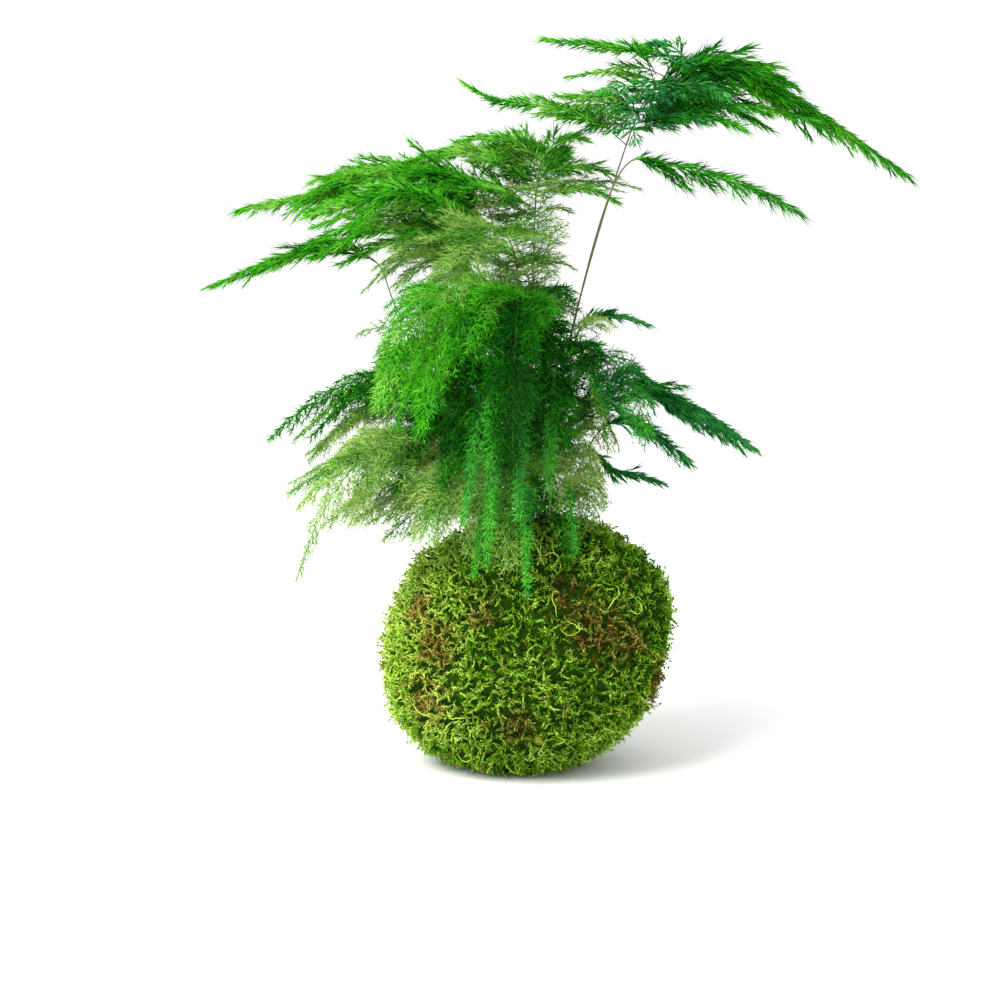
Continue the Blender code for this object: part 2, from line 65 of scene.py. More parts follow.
# Moss shoots. LYING and STANDING are how far they lean from straight out, and FALL how far they bend on.
MOSS_SEED = 21
SHOOT_COUNT = 5800
SHOOT_POINTS = 3
SHOOT_LENGTHS = (4.0 * MM, 7.5 * MM)
SHOOT_RADIUS = 0.3 * MM
SHOOT_DEPTH = 0.6 * MM
EVEN_JITTER = 0.012
LYING = (40, 75)
STANDING = (5, 40)
FALL = (8, 34)
MOSS_TIP_SHARE = 0.5
LEAF_PAIRS = 4
LEAF_LENGTHS = (1.9 * MM, 3.2 * MM)
LEAF_HALF_WIDTH = 0.46 * MM
LEAF_KEEL = 0.18 * MM
LEAF_SLANT = math.radians(42)
WISP_COUNT = 60
WISP_LENGTHS = (8 * MM, 12 * MM)
WISP_LEAF_PAIRS = 6
WISP_ERECT = 0.1
SPROUT_COUNT = 3000
SPROUT_LENGTHS = (1.8 * MM, 3.4 * MM)
SPROUT_DEPTH = 0.3 * MM
SPROUT_SLANTS = (math.radians(15), math.radians(50))
STRAND_COUNT = 90
STRAND_POINTS = 9
STRAND_STEP = 1.7 * MM
STRAND_RADIUS = 0.26 * MM
STRAND_LIFT = 3.6 * MM
STRAND_WAVES = 0.25 * MM
GOLDEN_ANGLE = math.pi * (3 - math.sqrt(5))

# Tufts where the moss stands proud: azimuth, height angle and radius in degrees, and height in mm
TUFTS = (
    (-4, 22, 24, 4.0),
    (-176, 40, 12, 3.0),
    (178, -2, 30, 2.0),
    (-165, -30, 16, 2.0),
    (-60, 58, 14, 1.5),
    (-30, -8, 26, 1.5),
    (60, 10, 22, 2.5),
    (120, -12, 26, 2.5),
    (95, 38, 16, 2.0),
)

# Patches of dry moss: azimuth and height angle on the ball, and their radius, in degrees
DRY_PATCHES = (
    (-131, 8, 9),
    (-136, -16, 8),
    (-60, 14, 12),
    (-45, 10, 8),
    (-96, -26, 8),
    (-72, 30, 8),
    (-150, 22, 7),
    (-110, 22, 6),
    (-20, -12, 10),
    (35, 12, 12),
    (80, -14, 11),
    (125, 18, 12),
    (168, -10, 10),
)
# The share of dry shoots between the patches, and how dry they are at least
DRY_STRAYS = 0.05
STRAY_DRYNESS = 0.7

# Binding thread
THREAD_RADIUS = 0.3 * MM
THREAD_LIFT = 0.1 * MM
THREAD_TILT = math.atan(0.5)
THREAD_TURNS = (0, 144, 216)
THREAD_POINTS = 120
THREAD_SIDES = 5
THREAD_SLACK = 0.3 * MM
THREAD_WAVES = 11

# Stems and sprays
PATH_STEPS = 12
CROWN_TOP = 82 * MM
CROWN_SEMI = (13.5 * MM, 5 * MM)
GAP = 0.3 * MM
SOIL_TOP = BALL_CENTRE[2] + MOSS_SEMI[2] - MOSS_THICKNESS
COLLAR = 2 * MM
INNER = 4.5 * MM
OUTER = 10 * MM
STEM_RADII = (0.55 * MM, 0.3 * MM)
SPRAY_RADII = (0.24 * MM, 0.24 * MM)
RACHIS_TIP_RADIUS = 0.14 * MM
RACHIS_SIDES = 5
RACHIS_STEP = 3 * MM
RACHIS_NEEDLE_POINTS = 24
BRANCH_RADIUS = 0.22 * MM
BRANCHLET_RADIUS = 0.15 * MM
BRANCH_POINTS = 5
BRANCHLET_POINTS = 3
BRANCHLET_LENGTHS = (1.6 * MM, 13 * MM)
ARM_ROOT = 8 * MM
SPRAY_ROOT = 3 * MM
TWIG_TIP_SHARE = 0.4
BRANCH_ANGLE = 74
BRANCH_TIP_ANGLE = 36
BRANCH_SWING = 0.35
FROND_SEED = 100

# How much twigs and needles differ: ranges as shares of their length, spreads in degrees, and of light
BRANCH_SIZES = (0.72, 1.14)
BRANCHLET_SIZES = (0.7, 1.15)
NEEDLE_SIZES = (0.65, 1.15)
BRANCH_SWAY = 0.012
BRANCH_SPREAD = 5
BRANCHLET_SPREAD = 7
NEEDLE_SPREAD = 9
BRANCH_LIGHTS = 0.08
BRANCHLET_LIGHTS = 0.06
NEEDLE_LIGHTS = 0.14


class Style(NamedTuple):
    """How a spray is clothed. Steps and lengths in mm, angles in degrees.

    light says how light its greens are at the foot and at the tip, from their age and, in the darker
    styles, painted shade, and warmth how bluish or yellowish, from 0 to 1. swept scales the angles at which
    side branches leave the rachis, and a spray of a higher taper narrows sooner.
    """

    branch_step: float
    branchlet_step: float
    branchlet_share: float
    needle_step: float
    needle_length: float
    needle_half: float
    slant: float
    flatness: float
    opening: float
    droop: float
    light: tuple
    warmth: float
    swept: float = 1.0
    taper: float = 0.75


SHEET = Style(2.8, 3.2, 0.42, 1.6, 8.6, 0.36, 12, 0.5, 18, 0.12, (0.45, 0.8), 0.42, 0.7, 1.3)
RIBBON = SHEET._replace(taper=0.8)
VEIL = SHEET._replace(light=(0.6, 0.9), warmth=0.15, swept=1.0, needle_length=6.0, droop=0.1)
STREAKS = Style(3.4, 3.2, 0.45, 1.45, 7.4, 0.285, 18, 0.6, 22, 0.1, (0.47, 0.82), 0.55, 0.7, 0.9)
BLADES = STREAKS._replace(swept=1.0)
TWIGGY = Style(3.8, 3.2, 0.42, 1.7, 4.8, 0.17, 34, 0.5, 36, 0.08, (0.5, 0.72), 0.8)
FLUFF = Style(3.6, 3.0, 0.42, 1.08, 5.6, 0.22, 42, 0.9, 42, 0.45, (0.56, 0.9), 0.52)
# CURTAIN's greens darken from the front frond's top to its hanging tips, as painted shade under the dome.
CURTAIN = FLUFF._replace(light=(0.6, -0.15), warmth=0.42)
# SHADED sprays stand inside and behind the plant, and their dark greens are painted shade; the two styles
# after it are darkened less.
SHADED = Style(4.2, 3.4, 0.42, 1.55, 6.4, 0.32, 42, 0.9, 42, 0.4, (0.05, 0.34), 0.45)
HALF_SHADED = SHADED._replace(needle_step=1.5, needle_half=0.27, light=(0.24, 0.56), droop=0.25)
PLUME = HALF_SHADED._replace(taper=1.2)
TAILS = Style(2.8, 3.0, 0.4, 1.1, 4.8, 0.22, 46, 1.0, 40, 0.6, (0.42, 0.9), 0.3)
MESH = Style(3.7, 3.1, 0.45, 1.35, 4.7, 0.17, 48, 1.0, 46, 0.28, (0.6, 0.9), 0.85, 1.0, 0.6)
LACE = MESH._replace(light=(0.52, 0.82), warmth=0.7)
HAZE = MESH._replace(light=(0.35, 0.75), warmth=0.18)
STRAND = MESH._replace(taper=1.4)
FINGERS = Style(2.6, 2.8, 0.42, 1.4, 7.6, 0.33, 13, 0.5, 18, 0.12, (0.5, 0.8), 0.06, 0.5, 0.9)


class Frond(NamedTuple):
    """A frond's plan. The points are (reach, height) in mm, in the upright plane at the azimuth in degrees.

    Azimuth 0 is +X and 90 is +Y. The stem stands on a ring of the given radius round the ball's axis. The
    spray runs from points[1] to the last point. Near its foot it is half_width mm wide on its front side,
    and far_share of that on its far side. It leans down towards the front by the slope front_tilt. The
    first bare mm of its rachis carry nothing.
    """

    name: str
    azimuth: float
    ring: float
    points: tuple
    half_width: float
    style: Style
    front_tilt: float = 0.22
    far_share: float = 1.0
    bare: float = 0.0


class Arm(NamedTuple):
    """A further spray in a frond's plane. It forks off some mm past the first one's foot, or before it."""

    past: float
    points: tuple
    half_width: float


class Spray(NamedTuple):
    """A further spray on a frond's stem, in mm and degrees.

    It leaves the stem at a height, rises on its way out, and ends above or below where it began. It leans
    down towards the front by the slope front_tilt.
    """

    height: float
    azimuth: float
    reach: float
    rise: float
    end: float
    half_width: float
    style: Style
    front_tilt: float = 0.22


FRONDS = (
    Frond("top_right", 6, INNER,
          ((18, 181), (42, 262), (55, 284), (66, 291), (79, 293), (98, 284), (124, 268), (158, 244.5)),
          42, SHEET, 0.5, 0.25, 28),
    Frond("mid_right", -14, INNER, ((18.4, 181), (38, 246), (60, 249.5), (88, 243), (112, 231)),
          17, RIBBON, 0.6, 0.2, 7),
    Frond("top_left", 170, INNER, ((14, 136), (52, 184), (65, 210), (92, 214.5), (136, 198)),
          25, STREAKS, 0.35, 0.4, 38),
    Frond("upper_left", 152, INNER, ((10, 180), (22, 238), (58, 247.5), (96, 238), (141, 228.5)),
          42, STREAKS, 0.4, 0.15),
    Frond("upper_back", 78, INNER, ((9, 190), (18, 240), (45, 255), (84, 243)), 20, STREAKS, 0.32, 1.7),
    Frond("upper_front", -108, INNER, ((8, 160), (15, 208), (42, 226), (78, 215), (96, 200)), 36, TWIGGY),
    Frond("upper_front_left", -152, INNER, ((12, 165), (26, 214), (54, 238), (100, 230)), 26, STREAKS),
    Frond("front_left", -132, OUTER, ((14, 140), (28, 186), (50, 200), (74, 184), (88, 156)),
          29, FLUFF, 0.22, 0.9),
    Frond("front", -95, OUTER, ((14, 140), (26, 184), (48, 197), (70, 172), (80, 132)),
          20, CURTAIN, 0.22, 1.5),
    Frond("front_right", -48, OUTER, ((16, 138), (30, 168), (46, 174), (62, 162), (71, 142)),
          26, HAZE, 0.22, 0.6),
    Frond("left", -172, OUTER, ((18, 128), (40, 156.5), (66, 163), (90, 152), (108, 137.5)),
          28, PLUME, 0.35, 0.75),
    Frond("low_left", -150, OUTER, ((22, 118), (48, 140), (76, 134), (96, 111), (107, 86)),
          30, STRAND, 0.3, 0.8),
    Frond("low_front_left", -122, OUTER, ((20, 114), (42, 134), (65, 125), (80, 105)), 22, MESH),
    Frond("low_front", -98, OUTER, ((18, 112), (36, 132), (54, 120), (64, 92)), 16, LACE),
    Frond("right", 12, OUTER, ((14, 134), (36, 158), (54, 156.5), (76, 145.5), (97, 131)),
          32, FINGERS, 0.8, 0.2),
    Frond("low_right", -20, OUTER, ((18, 116), (32, 142), (50, 144), (70, 130)), 20, FINGERS, 0.6, 0.2),
    Frond("back_right", 36, OUTER, ((14, 146), (28, 182), (46, 185.5), (63, 181)), 9, FINGERS),
    Frond("back", 92, OUTER, ((16, 142), (30, 186), (60, 194), (96, 168)), 32, HALF_SHADED),
    Frond("back_left", 132, OUTER, ((18, 134), (38, 168), (70, 172), (102, 142)), 30, HALF_SHADED),
    Frond("low_back", 104, OUTER, ((20, 112), (42, 130), (64, 118), (80, 94)), 22, MESH),
)

# Further sprays by frond: arms in the frond's own plane, and rows of the values of a Spray
ARMS = {
    "top_right": (
        Arm(-5, ((28, 267), (8, 273), (-14, 276), (-27, 283)), 14),
        Arm(22, ((46, 294), (26, 298), (5, 300)), 11),
    ),
}
SPRAYS = {
    "top_right": (
        (184, 205, 20, 4, 0, 10, TWIGGY), (188, 186, 18, 3, 0, 10, TWIGGY, 0.6),
        (184, 10, 16, 3, 1, 8, MESH, 0.6), (180, 190, 16, 2, -2, 10, MESH, 0.5),
        (286, -2, 34, 4, -4, 12, SHEET, 0.7), (282, 8, 54, 4, -10, 14, SHEET, 0.7),
        (277, -8, 58, 4, -8, 16, SHEET, 0.7), (274, 0, 52, 4, -5, 13, SHEET, 0.7),
        (270, 12, 56, 4, -5, 13, SHEET, 0.6), (264, -16, 46, 3, -2, 15, SHEET, 0.6),
        (264, -8, 74, 7, 1, 9, SHEET, 0.4), (280, -30, 34, 2, -4, 14, VEIL, 0.9),
        (272, 24, 34, 2, -4, 14, VEIL, 0.9), (266, -24, 32, 3, 0, 12, VEIL, 0.9),
        (290, 184, 34, 6, 7, 10, BLADES, 0.4), (288, -70, 14, 3, 0, 12, VEIL, 0.2),
        (281, -96, 16, 2, -4, 13, VEIL, 0.2), (274, -80, 16, 2, -4, 14, VEIL, 0.2),
        (268, -104, 15, 2, -4, 13, VEIL, 0.2), (262, -84, 13, 2, -4, 12, VEIL, 0.2),
        (278, 92, 14, 2, -2, 12, VEIL, 0.2), (268, 84, 14, 2, -2, 12, VEIL, 0.2),
        (291, 150, 26, 8, 5, 13, VEIL, 0.35), (285, 182, 26, 4, 2, 7, BLADES, 0.5),
        (283, 180, 38, 4, 2, 6, STREAKS), (282, 186, 24, -1, -4, 12, VEIL, 0.9),
        (274, 190, 24, 0, -3, 13, VEIL, 0.9), (266, 186, 20, 0, -3, 12, VEIL, 0.9),
        (275, 180, 36, 3, 3, 8, BLADES, 0.4), (271, 184, 42, 3, -3, 11, BLADES, 0.6),
        (265, 178, 30, 3, 2, 11, BLADES, 0.6),
    ),
    "top_left": (
        (208, 176, 40, 8, 0, 12, STREAKS), (182, 178, 23, 1, -2, 7, TWIGGY, 0.5),
    ),
    "upper_left": (
        (230, 165, 82, 16, 4, 22, STREAKS, 0.4), (234, 163, 78, 13, 6, 8, STREAKS, 0.3),
        (226, 172, 78, 10, 2, 20, STREAKS, 0.4), (223, 174, 76, 9, 0, 15, STREAKS, 0.5),
        (219, 176, 80, 8, -3, 18, STREAKS, 0.5), (214, -178, 76, 10, -2, 20, STREAKS, 0.4),
        (222, -170, 60, 14, 2, 22, STREAKS, 0.4), (240, 60, 40, 16, 14, 16, STREAKS),
        (232, 14, 58, 11, 6, 10, TWIGGY, 0.1), (206, 178, 66, 10, 0, 20, STREAKS, 0.4),
    ),
    "upper_back": (
        (250, 176, 38, 10, 6, 12, STREAKS, 0.4), (250, 112, 34, 6, 2, 13, STREAKS, 0.5),
        (236, 100, 44, 8, 0, 20, TWIGGY), (246, 180, 58, 8, 2, 14, STREAKS, 0.4),
        (240, 174, 50, 14, 8, 18, STREAKS, 0.4), (232, -165, 52, 10, 2, 20, STREAKS, 0.4),
        (228, 150, 44, 6, 0, 18, TWIGGY, 0.4), (226, -160, 30, 6, 2, 14, TWIGGY, 0.4),
        (250, 40, 26, 10, 8, 12, STREAKS, 0.4), (230, -90, 22, 8, 4, 14, TWIGGY, 0.3),
        (208, -85, 22, 6, 0, 14, TWIGGY, 0.3), (244, -12, 32, 3, 0, 11, STREAKS, 0.4),
        (241, -6, 44, 2, -1, 9, TWIGGY, 0.3), (236, -24, 36, 2, -3, 10, STREAKS, 0.3),
        (226, -14, 16, 4, 2, 10, TWIGGY, 0.1), (216, 108, 46, 12, 2, 20, TWIGGY, 0.3),
        (208, 170, 40, 10, 0, 20, TWIGGY, 0.1), (198, 104, 44, 12, 0, 20, TWIGGY, 0.3),
        (206, -10, 18, 3, 0, 8, TWIGGY, 0.1),
    ),
    "upper_front": (
        (175, -120, 55, 28, 0, 20, FLUFF), (178, -85, 44, 20, -4, 16, FLUFF),
        (208, -40, 18, 4, -2, 12, TWIGGY, 0.1), (204, 172, 60, 14, 2, 20, TWIGGY, 0.1),
        (196, -100, 30, 12, 4, 18, TWIGGY, 0.1), (190, 176, 50, 12, 0, 20, TWIGGY, 0.1),
        (186, -150, 50, 18, 0, 20, TWIGGY, 0.1), (190, -30, 20, 5, -2, 12, TWIGGY, 0.1),
    ),
    "upper_front_left": (
        (207, -179, 38, 8, -2, 18, TWIGGY, 0.4), (205, -174, 42, 10, -1, 13, TWIGGY, 0.4),
        (203, -166, 34, 8, -2, 14, TWIGGY, 0.4), (200, -176, 50, 14, -2, 18, TWIGGY, 0.1),
        (200, -172, 38, 10, 0, 18, TWIGGY, 0.4), (192, 178, 30, 12, 3, 14, TWIGGY, 0.1),
    ),
    "front_left": (
        (168, -118, 62, 24, -22, 22, FLUFF), (146, -156, 50, 28, -8, 16, FLUFF),
        (130, -140, 58, 30, -8, 20, SHADED), (118, -128, 52, 20, -8, 16, HALF_SHADED),
    ),
    "front": (
        (172, -132, 59, 26, -8, 21, FLUFF), (176, -115, 50, 26, 4, 18, FLUFF),
        (160, -70, 40, 26, -14, 18, SHADED), (150, -125, 56, 16, -26, 20, SHADED),
        (146, -66, 42, 16, -6, 18, SHADED), (160, -104, 62, 8, -64, 9, TAILS),
        (156, -114, 60, 4, -44, 9, TAILS), (156, -93, 58, 6, -42, 9, TAILS),
    ),
    "front_right": (
        (150, -70, 40, 30, 14, 18, SHADED), (140, -20, 22, 26, -2, 14, LACE),
        (126, -104, 36, 20, -8, 14, HALF_SHADED), (122, -70, 36, 12, 2, 18, MESH),
        (154, -100, 46, 4, -32, 8, TAILS), (126, -78, 44, 4, -28, 4, TAILS),
        (125, -44, 26, 16, -4, 14, MESH),
    ),
    "left": (
        (122, -176, 76, 24, 8, 22, MESH), (128, -179, 73, 24, 0, 20, LACE, 0.38),
        (136, -178, 68, 23, 2, 16, HALF_SHADED, 0.4), (132, 172, 78, 24, 2, 18, LACE),
        (110, 168, 76, 26, 10, 20, MESH),
    ),
    "low_left": (
        (116, -165, 78, 22, -4, 24, MESH), (114, -174, 83, 16, 1, 20, MESH, 0.35),
        (125, -140, 60, 14, -18, 20, MESH), (119, -172, 78, 14, 1, 11, MESH),
        (107, -163, 74, 12, -3, 20, MESH), (108, -158, 66, 22, 4, 22, MESH),
        (106, -156, 64, 12, 0, 22, MESH),
    ),
    "low_front_left": (
        (112, -105, 50, 6, -22, 5, TAILS), (108, -150, 56, 22, 0, 20, MESH),
        (104, -152, 60, 10, -4, 18, MESH, 0.3), (108, -156, 62, 8, -1, 16, MESH, 0.25),
        (104, -165, 66, 14, 4, 18, MESH), (103, -145, 54, 10, -2, 20, MESH),
        (112, -110, 44, 16, -14, 16, MESH), (104, -132, 46, 18, -4, 18, MESH),
    ),
    "low_front": (
        (112, -62, 34, 20, 2, 15, MESH), (108, -90, 32, 16, 4, 14, HALF_SHADED),
        (106, -58, 34, 8, -12, 13, HALF_SHADED), (118, -88, 56, 4, -32, 5, TAILS),
    ),
    "right": (
        (128, -5, 26, 22, 4, 12, MESH), (116, 10, 22, 16, 2, 12, MESH),
        (155, -6, 18, 8, 5, 10, FINGERS, 0.4), (148, 4, 41, 6, -4, 9, FINGERS, 0.9),
        (146, -2, 30, 14, 6, 14, VEIL, 0.6), (138, -8, 24, 14, 8, 12, VEIL, 0.6),
        (141, -9, 30, 8, -3, 12, VEIL, 0.7), (128, -30, 26, 14, 4, 14, MESH, 0.5),
    ),
    "low_right": (
        (108, -55, 28, 14, 2, 16, MESH), (112, -30, 20, 14, -2, 12, MESH),
        (104, -56, 24, 10, 0, 14, MESH, 0.3), (134, -20, 32, -11, -14, 10, FINGERS, 0.15),
        (106, -52, 22, 12, 4, 15, MESH, 0.5),
    ),
    "back_right": (
        (130, 62, 40, 20, 8, 16, MESH), (160, 20, 24, 26, 22, 10, MESH),
    ),
    "back": (
        (140, 92, 44, 20, 8, 24, SHADED), (150, 78, 40, 26, 14, 22, SHADED),
        (118, 112, 44, 18, 4, 24, SHADED), (126, 86, 38, 18, 8, 18, SHADED),
        (162, 118, 42, 18, 4, 22, HALF_SHADED),
    ),
    "back_left": (
        (120, 145, 50, 20, 4, 22, SHADED), (138, 124, 46, 26, 12, 22, SHADED),
        (150, 116, 40, 18, 10, 18, SHADED), (130, 160, 72, 28, 4, 20, HALF_SHADED),
    ),
    "low_back": (
        (106, 78, 44, 16, -8, 18, MESH),
    ),
}

# Greens by light: the oldest needles and painted shade, the grown and the youngest needles, in bluish,
# plain and yellowish foliage
GREENS = (
    ((0.001, 0.035, 0.003), (0.006, 0.15, 0.02), (0.06, 0.42, 0.11)),
    ((0.001, 0.035, 0.001), (0.012, 0.22, 0.003), (0.09, 0.55, 0.01)),
    ((0.01, 0.04, 0.001), (0.11, 0.3, 0.026), (0.52, 0.68, 0.19)),
)
BARK = (0.09, 0.1, 0.045)

# Camera and light
CAMERA_AIM = Vector((-11.6, 0, 111)) * MM
CAMERA_DISTANCE = 1.2
CAMERA_ELEVATION = math.radians(8)
CAMERA_LENS = 104
CAMERA_SENSOR = 36
CAMERA_REACH = 50
KEY_PLACE = Vector((-1.1, -1.0, 1.5))
KEY_TARGET = Vector((0, 0, 0.14))
KEY_SIZE = 1.4
KEY_POWER = 60
FLOOR_RADIUS = 12
FLOOR_SIDES = 96
WORLD_STRENGTH = 1.12


# Vectors, in rows


def unit(rows):
    return rows / np.maximum(np.linalg.norm(rows, axis=-1, keepdims=True), 1e-12)


def dot(a, b):
    return (a * b).sum(axis=-1, keepdims=True)


def across_from(directions, hints):
    """The part of each hint that is square to its direction, as a unit vector."""
    return unit(hints - directions * dot(directions, hints))


def mix(a, b, share):
    return a + (b - a) * share


def turned(vector, towards, angle):
    """A unit vector turned by an angle towards another one that is square to it."""
    return vector * np.cos(angle) + towards * np.sin(angle)


def uphill(directions):
    """The way up that is square to each direction, as a unit vector."""
    return across_from(directions, np.broadcast_to(UP, directions.shape) + 0.001)


# Meshes


def new_object(name, data):
    """An object in the scene, made of some data."""
    obj = bpy.data.objects.new(name, data)
    bpy.context.scene.collection.objects.link(obj)
    return obj


class Geometry:
    """Closed triangle bodies, with values on their vertices, gathered for one piece."""

    def __init__(self):
        self.points = []
        self.faces = []
        self.values = {}
        self.count = 0

    def add(self, points, faces, **values):
        """Adds n bodies of the same faces: points is (n, k, 3), and each value is (n, k) or (n, 1)."""
        bodies, size, _ = points.shape
        offsets = self.count + size * np.arange(bodies)
        self.points.append(points.reshape(-1, 3))
        self.faces.append((faces[None] + offsets[:, None, None]).reshape(-1, 3))
        for name, value in values.items():
            spread = np.broadcast_to(value, (bodies, size)).reshape(-1)
            self.values.setdefault(name, []).append(spread)
        self.count += bodies * size

    def piece(self, name, material):
        """Makes the object of everything gathered."""
        points = np.concatenate(self.points)
        faces = np.concatenate(self.faces)
        mesh = bpy.data.meshes.new(name)
        mesh.vertices.add(len(points))
        mesh.vertices.foreach_set("co", points.astype(np.float32).ravel())
        mesh.loops.add(faces.size)
        mesh.loops.foreach_set("vertex_index", faces.astype(np.int32).ravel())
        mesh.polygons.add(len(faces))
        mesh.polygons.foreach_set("loop_start", np.arange(0, faces.size, 3, dtype=np.int32))
        mesh.update(calc_edges=True)
        for value_name, values in self.values.items():
            attribute = mesh.attributes.new(value_name, "FLOAT", "POINT")
            attribute.data.foreach_set("value", np.concatenate(values).astype(np.float32))
        mesh.materials.append(material)
        return new_object(name, mesh)


def add_tubes(geometry, points, radii, sides, hints, closed=False, **values):
    """Adds tubes along rows of points, (n, k, 3), that end in a point, or that close on themselves."""
    bodies, count, _ = points.shape
    if closed:
        tangents = unit(np.roll(points, -1, axis=1) - np.roll(points, 1, axis=1))
    else:
        tangents = unit(np.gradient(points, axis=1))
    side = across_from(tangents, hints[:, None])
    other = np.cross(tangents, side)
    rings = count if closed else count - 1
    turns = math.tau * np.arange(sides) / sides
    spokes = turned(side[:, :rings, None], other[:, :rings, None], turns[:, None])
    walls = points[:, :rings, None] + radii[:, :rings, None, None] * spokes
    walls = walls.reshape(bodies, rings * sides, 3)
    faces = []
    for ring in range(rings if closed else rings - 1):
        here, ahead = ring * sides, (ring + 1) % rings * sides
        for i in range(sides):
            j = (i + 1) % sides
            faces += [(here + i, here + j, ahead + j), (here + i, ahead + j, ahead + i)]
    if not closed:
        last, tip = (rings - 1) * sides, rings * sides
        faces += [(last + i, last + (i + 1) % sides, tip) for i in range(sides)]
        faces += [(0, i + 1, i) for i in range(1, sides - 1)]
        walls = np.concatenate([walls, points[:, -1:]], axis=1)
    geometry.add(walls, np.array(faces), **values)


def add_twigs(geometry, points, radius, tip_share, hints, **values):
    """Adds thin three-sided tubes along rows of points, whose radius shrinks to a share at the tip."""
    rows, count, _ = points.shape
    radii = radius * np.linspace(1, tip_share, count) * np.ones((rows, 1))
    add_tubes(geometry, points, radii, 3, hints, **values)


FORK_FACES = np.array(((1, 0, 3), (2, 1, 3), (0, 2, 3), (0, 1, 4), (1, 2, 4), (2, 0, 4)))


def foot_and_tip(foot, tip):
    """A value for each corner of a fork: its three feet and its two tips."""
    return np.array((foot, foot, foot, tip, tip))


def add_forks(geometry, feet, axis, across, slants, lengths, half_width, depth, **values):
    """Adds pairs of blades, each pair one body, that open from their foot to both sides of the axis.

    slants and lengths are (n, 2). A blade is twice half_width wide square to across, and its foot is
    depth deep along the axis.
    """
    broad = np.cross(across, axis)
    corners = [feet + broad * half_width, feet - broad * half_width, feet - axis * depth]
    for blade, sense in enumerate((1, -1)):
        tips = turned(axis, across * sense, slants[:, blade, None]) * lengths[:, blade, None]
        corners.append(feet + tips)
    geometry.add(np.stack(corners, axis=1), FORK_FACES, **values)


# Node materials


class Nodes:
    """A small writer of node trees."""

    def __init__(self, name):
        self.material = bpy.data.materials.new(name)
        self.material.use_nodes = True
        self.tree = self.material.node_tree
        self.shader = self.tree.nodes["Principled BSDF"]

    def add(self, kind, inputs=None, **settings):
        node = self.tree.nodes.new(kind)
        for key, value in settings.items():
            setattr(node, key, value)
        for key, value in (inputs or {}).items():
            self.set(node.inputs[key], value)
        return node

    def set(self, socket, value):
        if isinstance(value, bpy.types.NodeSocket):
            self.tree.links.new(value, socket)
        else:
            socket.default_value = value

    def value(self, name):
        """A value that the mesh holds on its vertices."""
        return self.add("ShaderNodeAttribute", attribute_name=name).outputs["Fac"]

    def noise(self, scale, detail=3.0, roughness=0.6, distortion=0.0):
        place = self.add("ShaderNodeTexCoord").outputs["Object"]
        inputs = {"Vector": place, "Scale": scale, "Detail": detail, "Roughness": roughness}
        return self.add("ShaderNodeTexNoise", {**inputs, "Distortion": distortion}).outputs["Fac"]

    def span(self, value, low, high, to_low=0.0, to_high=1.0):
        inputs = {"Value": value, "From Min": low, "From Max": high, "To Min": to_low, "To Max": to_high}
        return self.add("ShaderNodeMapRange", inputs).outputs["Result"]

    def vary(self, noise, low, high):
        """The middle range of a noise, spread from low to high."""
        return self.span(noise, 0.3, 0.7, low, high)

    def math(self, operation, a, b):
        """A sum or a product, kept between 0 and 1."""
        return self.add("ShaderNodeMath", {0: a, 1: b}, operation=operation, use_clamp=True).outputs[0]

    def ramp(self, value, *stops):
        node = self.add("ShaderNodeValToRGB", {"Fac": value})
        elements = node.color_ramp.elements
        for element, (place, colour) in zip(elements, (stops[0], stops[-1])):
            element.position = place
            element.color = (*colour, 1)
        for place, colour in stops[1:-1]:
            elements.new(place).color = (*colour, 1)
        return node.outputs["Color"]

    def blend(self, share, a, b):
        node = self.add("ShaderNodeMix", data_type="RGBA")
        self.set(node.inputs[0], share)
        self.set(node.inputs[6], a)
        self.set(node.inputs[7], b)
        return node.outputs[2]

    def finish(self, colour, roughness, height, bump_depth, bump_strength=0.5, specular=0.5):
        """Connects the colour, the roughness and a bump of a depth in metres."""
        self.set(self.shader.inputs["Base Color"], colour)
        self.set(self.shader.inputs["Roughness"], roughness)
        self.set(self.shader.inputs["Specular IOR Level"], specular)
        inputs = {"Height": height, "Distance": bump_depth, "Strength": bump_strength}
        self.set(self.shader.inputs["Normal"], self.add("ShaderNodeBump", inputs).outputs["Normal"])
        return self.material


def foliage_material():
    """Green needles, darker at the foot and in painted shade, yellower on young twigs, on thin bark."""
    nodes = Nodes("fern_foliage")
    patches = nodes.noise(45, detail=2)
    light = nodes.math("ADD", nodes.value("light"), nodes.vary(patches, -0.12, 0.12))
    warmth = nodes.math("ADD", nodes.value("warmth"), nodes.vary(patches, -0.15, 0.15))
    bluish, plain, yellowish = (nodes.ramp(light, *zip((0.05, 0.5, 0.95), greens)) for greens in GREENS)
    green = nodes.blend(nodes.span(warmth, 0, 0.5), bluish, plain)
    green = nodes.blend(nodes.span(warmth, 0.5, 1), green, yellowish)
    grain = nodes.noise(900, detail=4)
    bark = nodes.ramp(grain, (0.3, tuple(0.6 * c for c in BARK)), (0.7, tuple(1.5 * c for c in BARK)))
    colour = nodes.blend(nodes.value("wood"), green, bark)
    return nodes.finish(colour, nodes.vary(grain, 0.5, 0.75), grain, 0.1 * MM, specular=0.03)


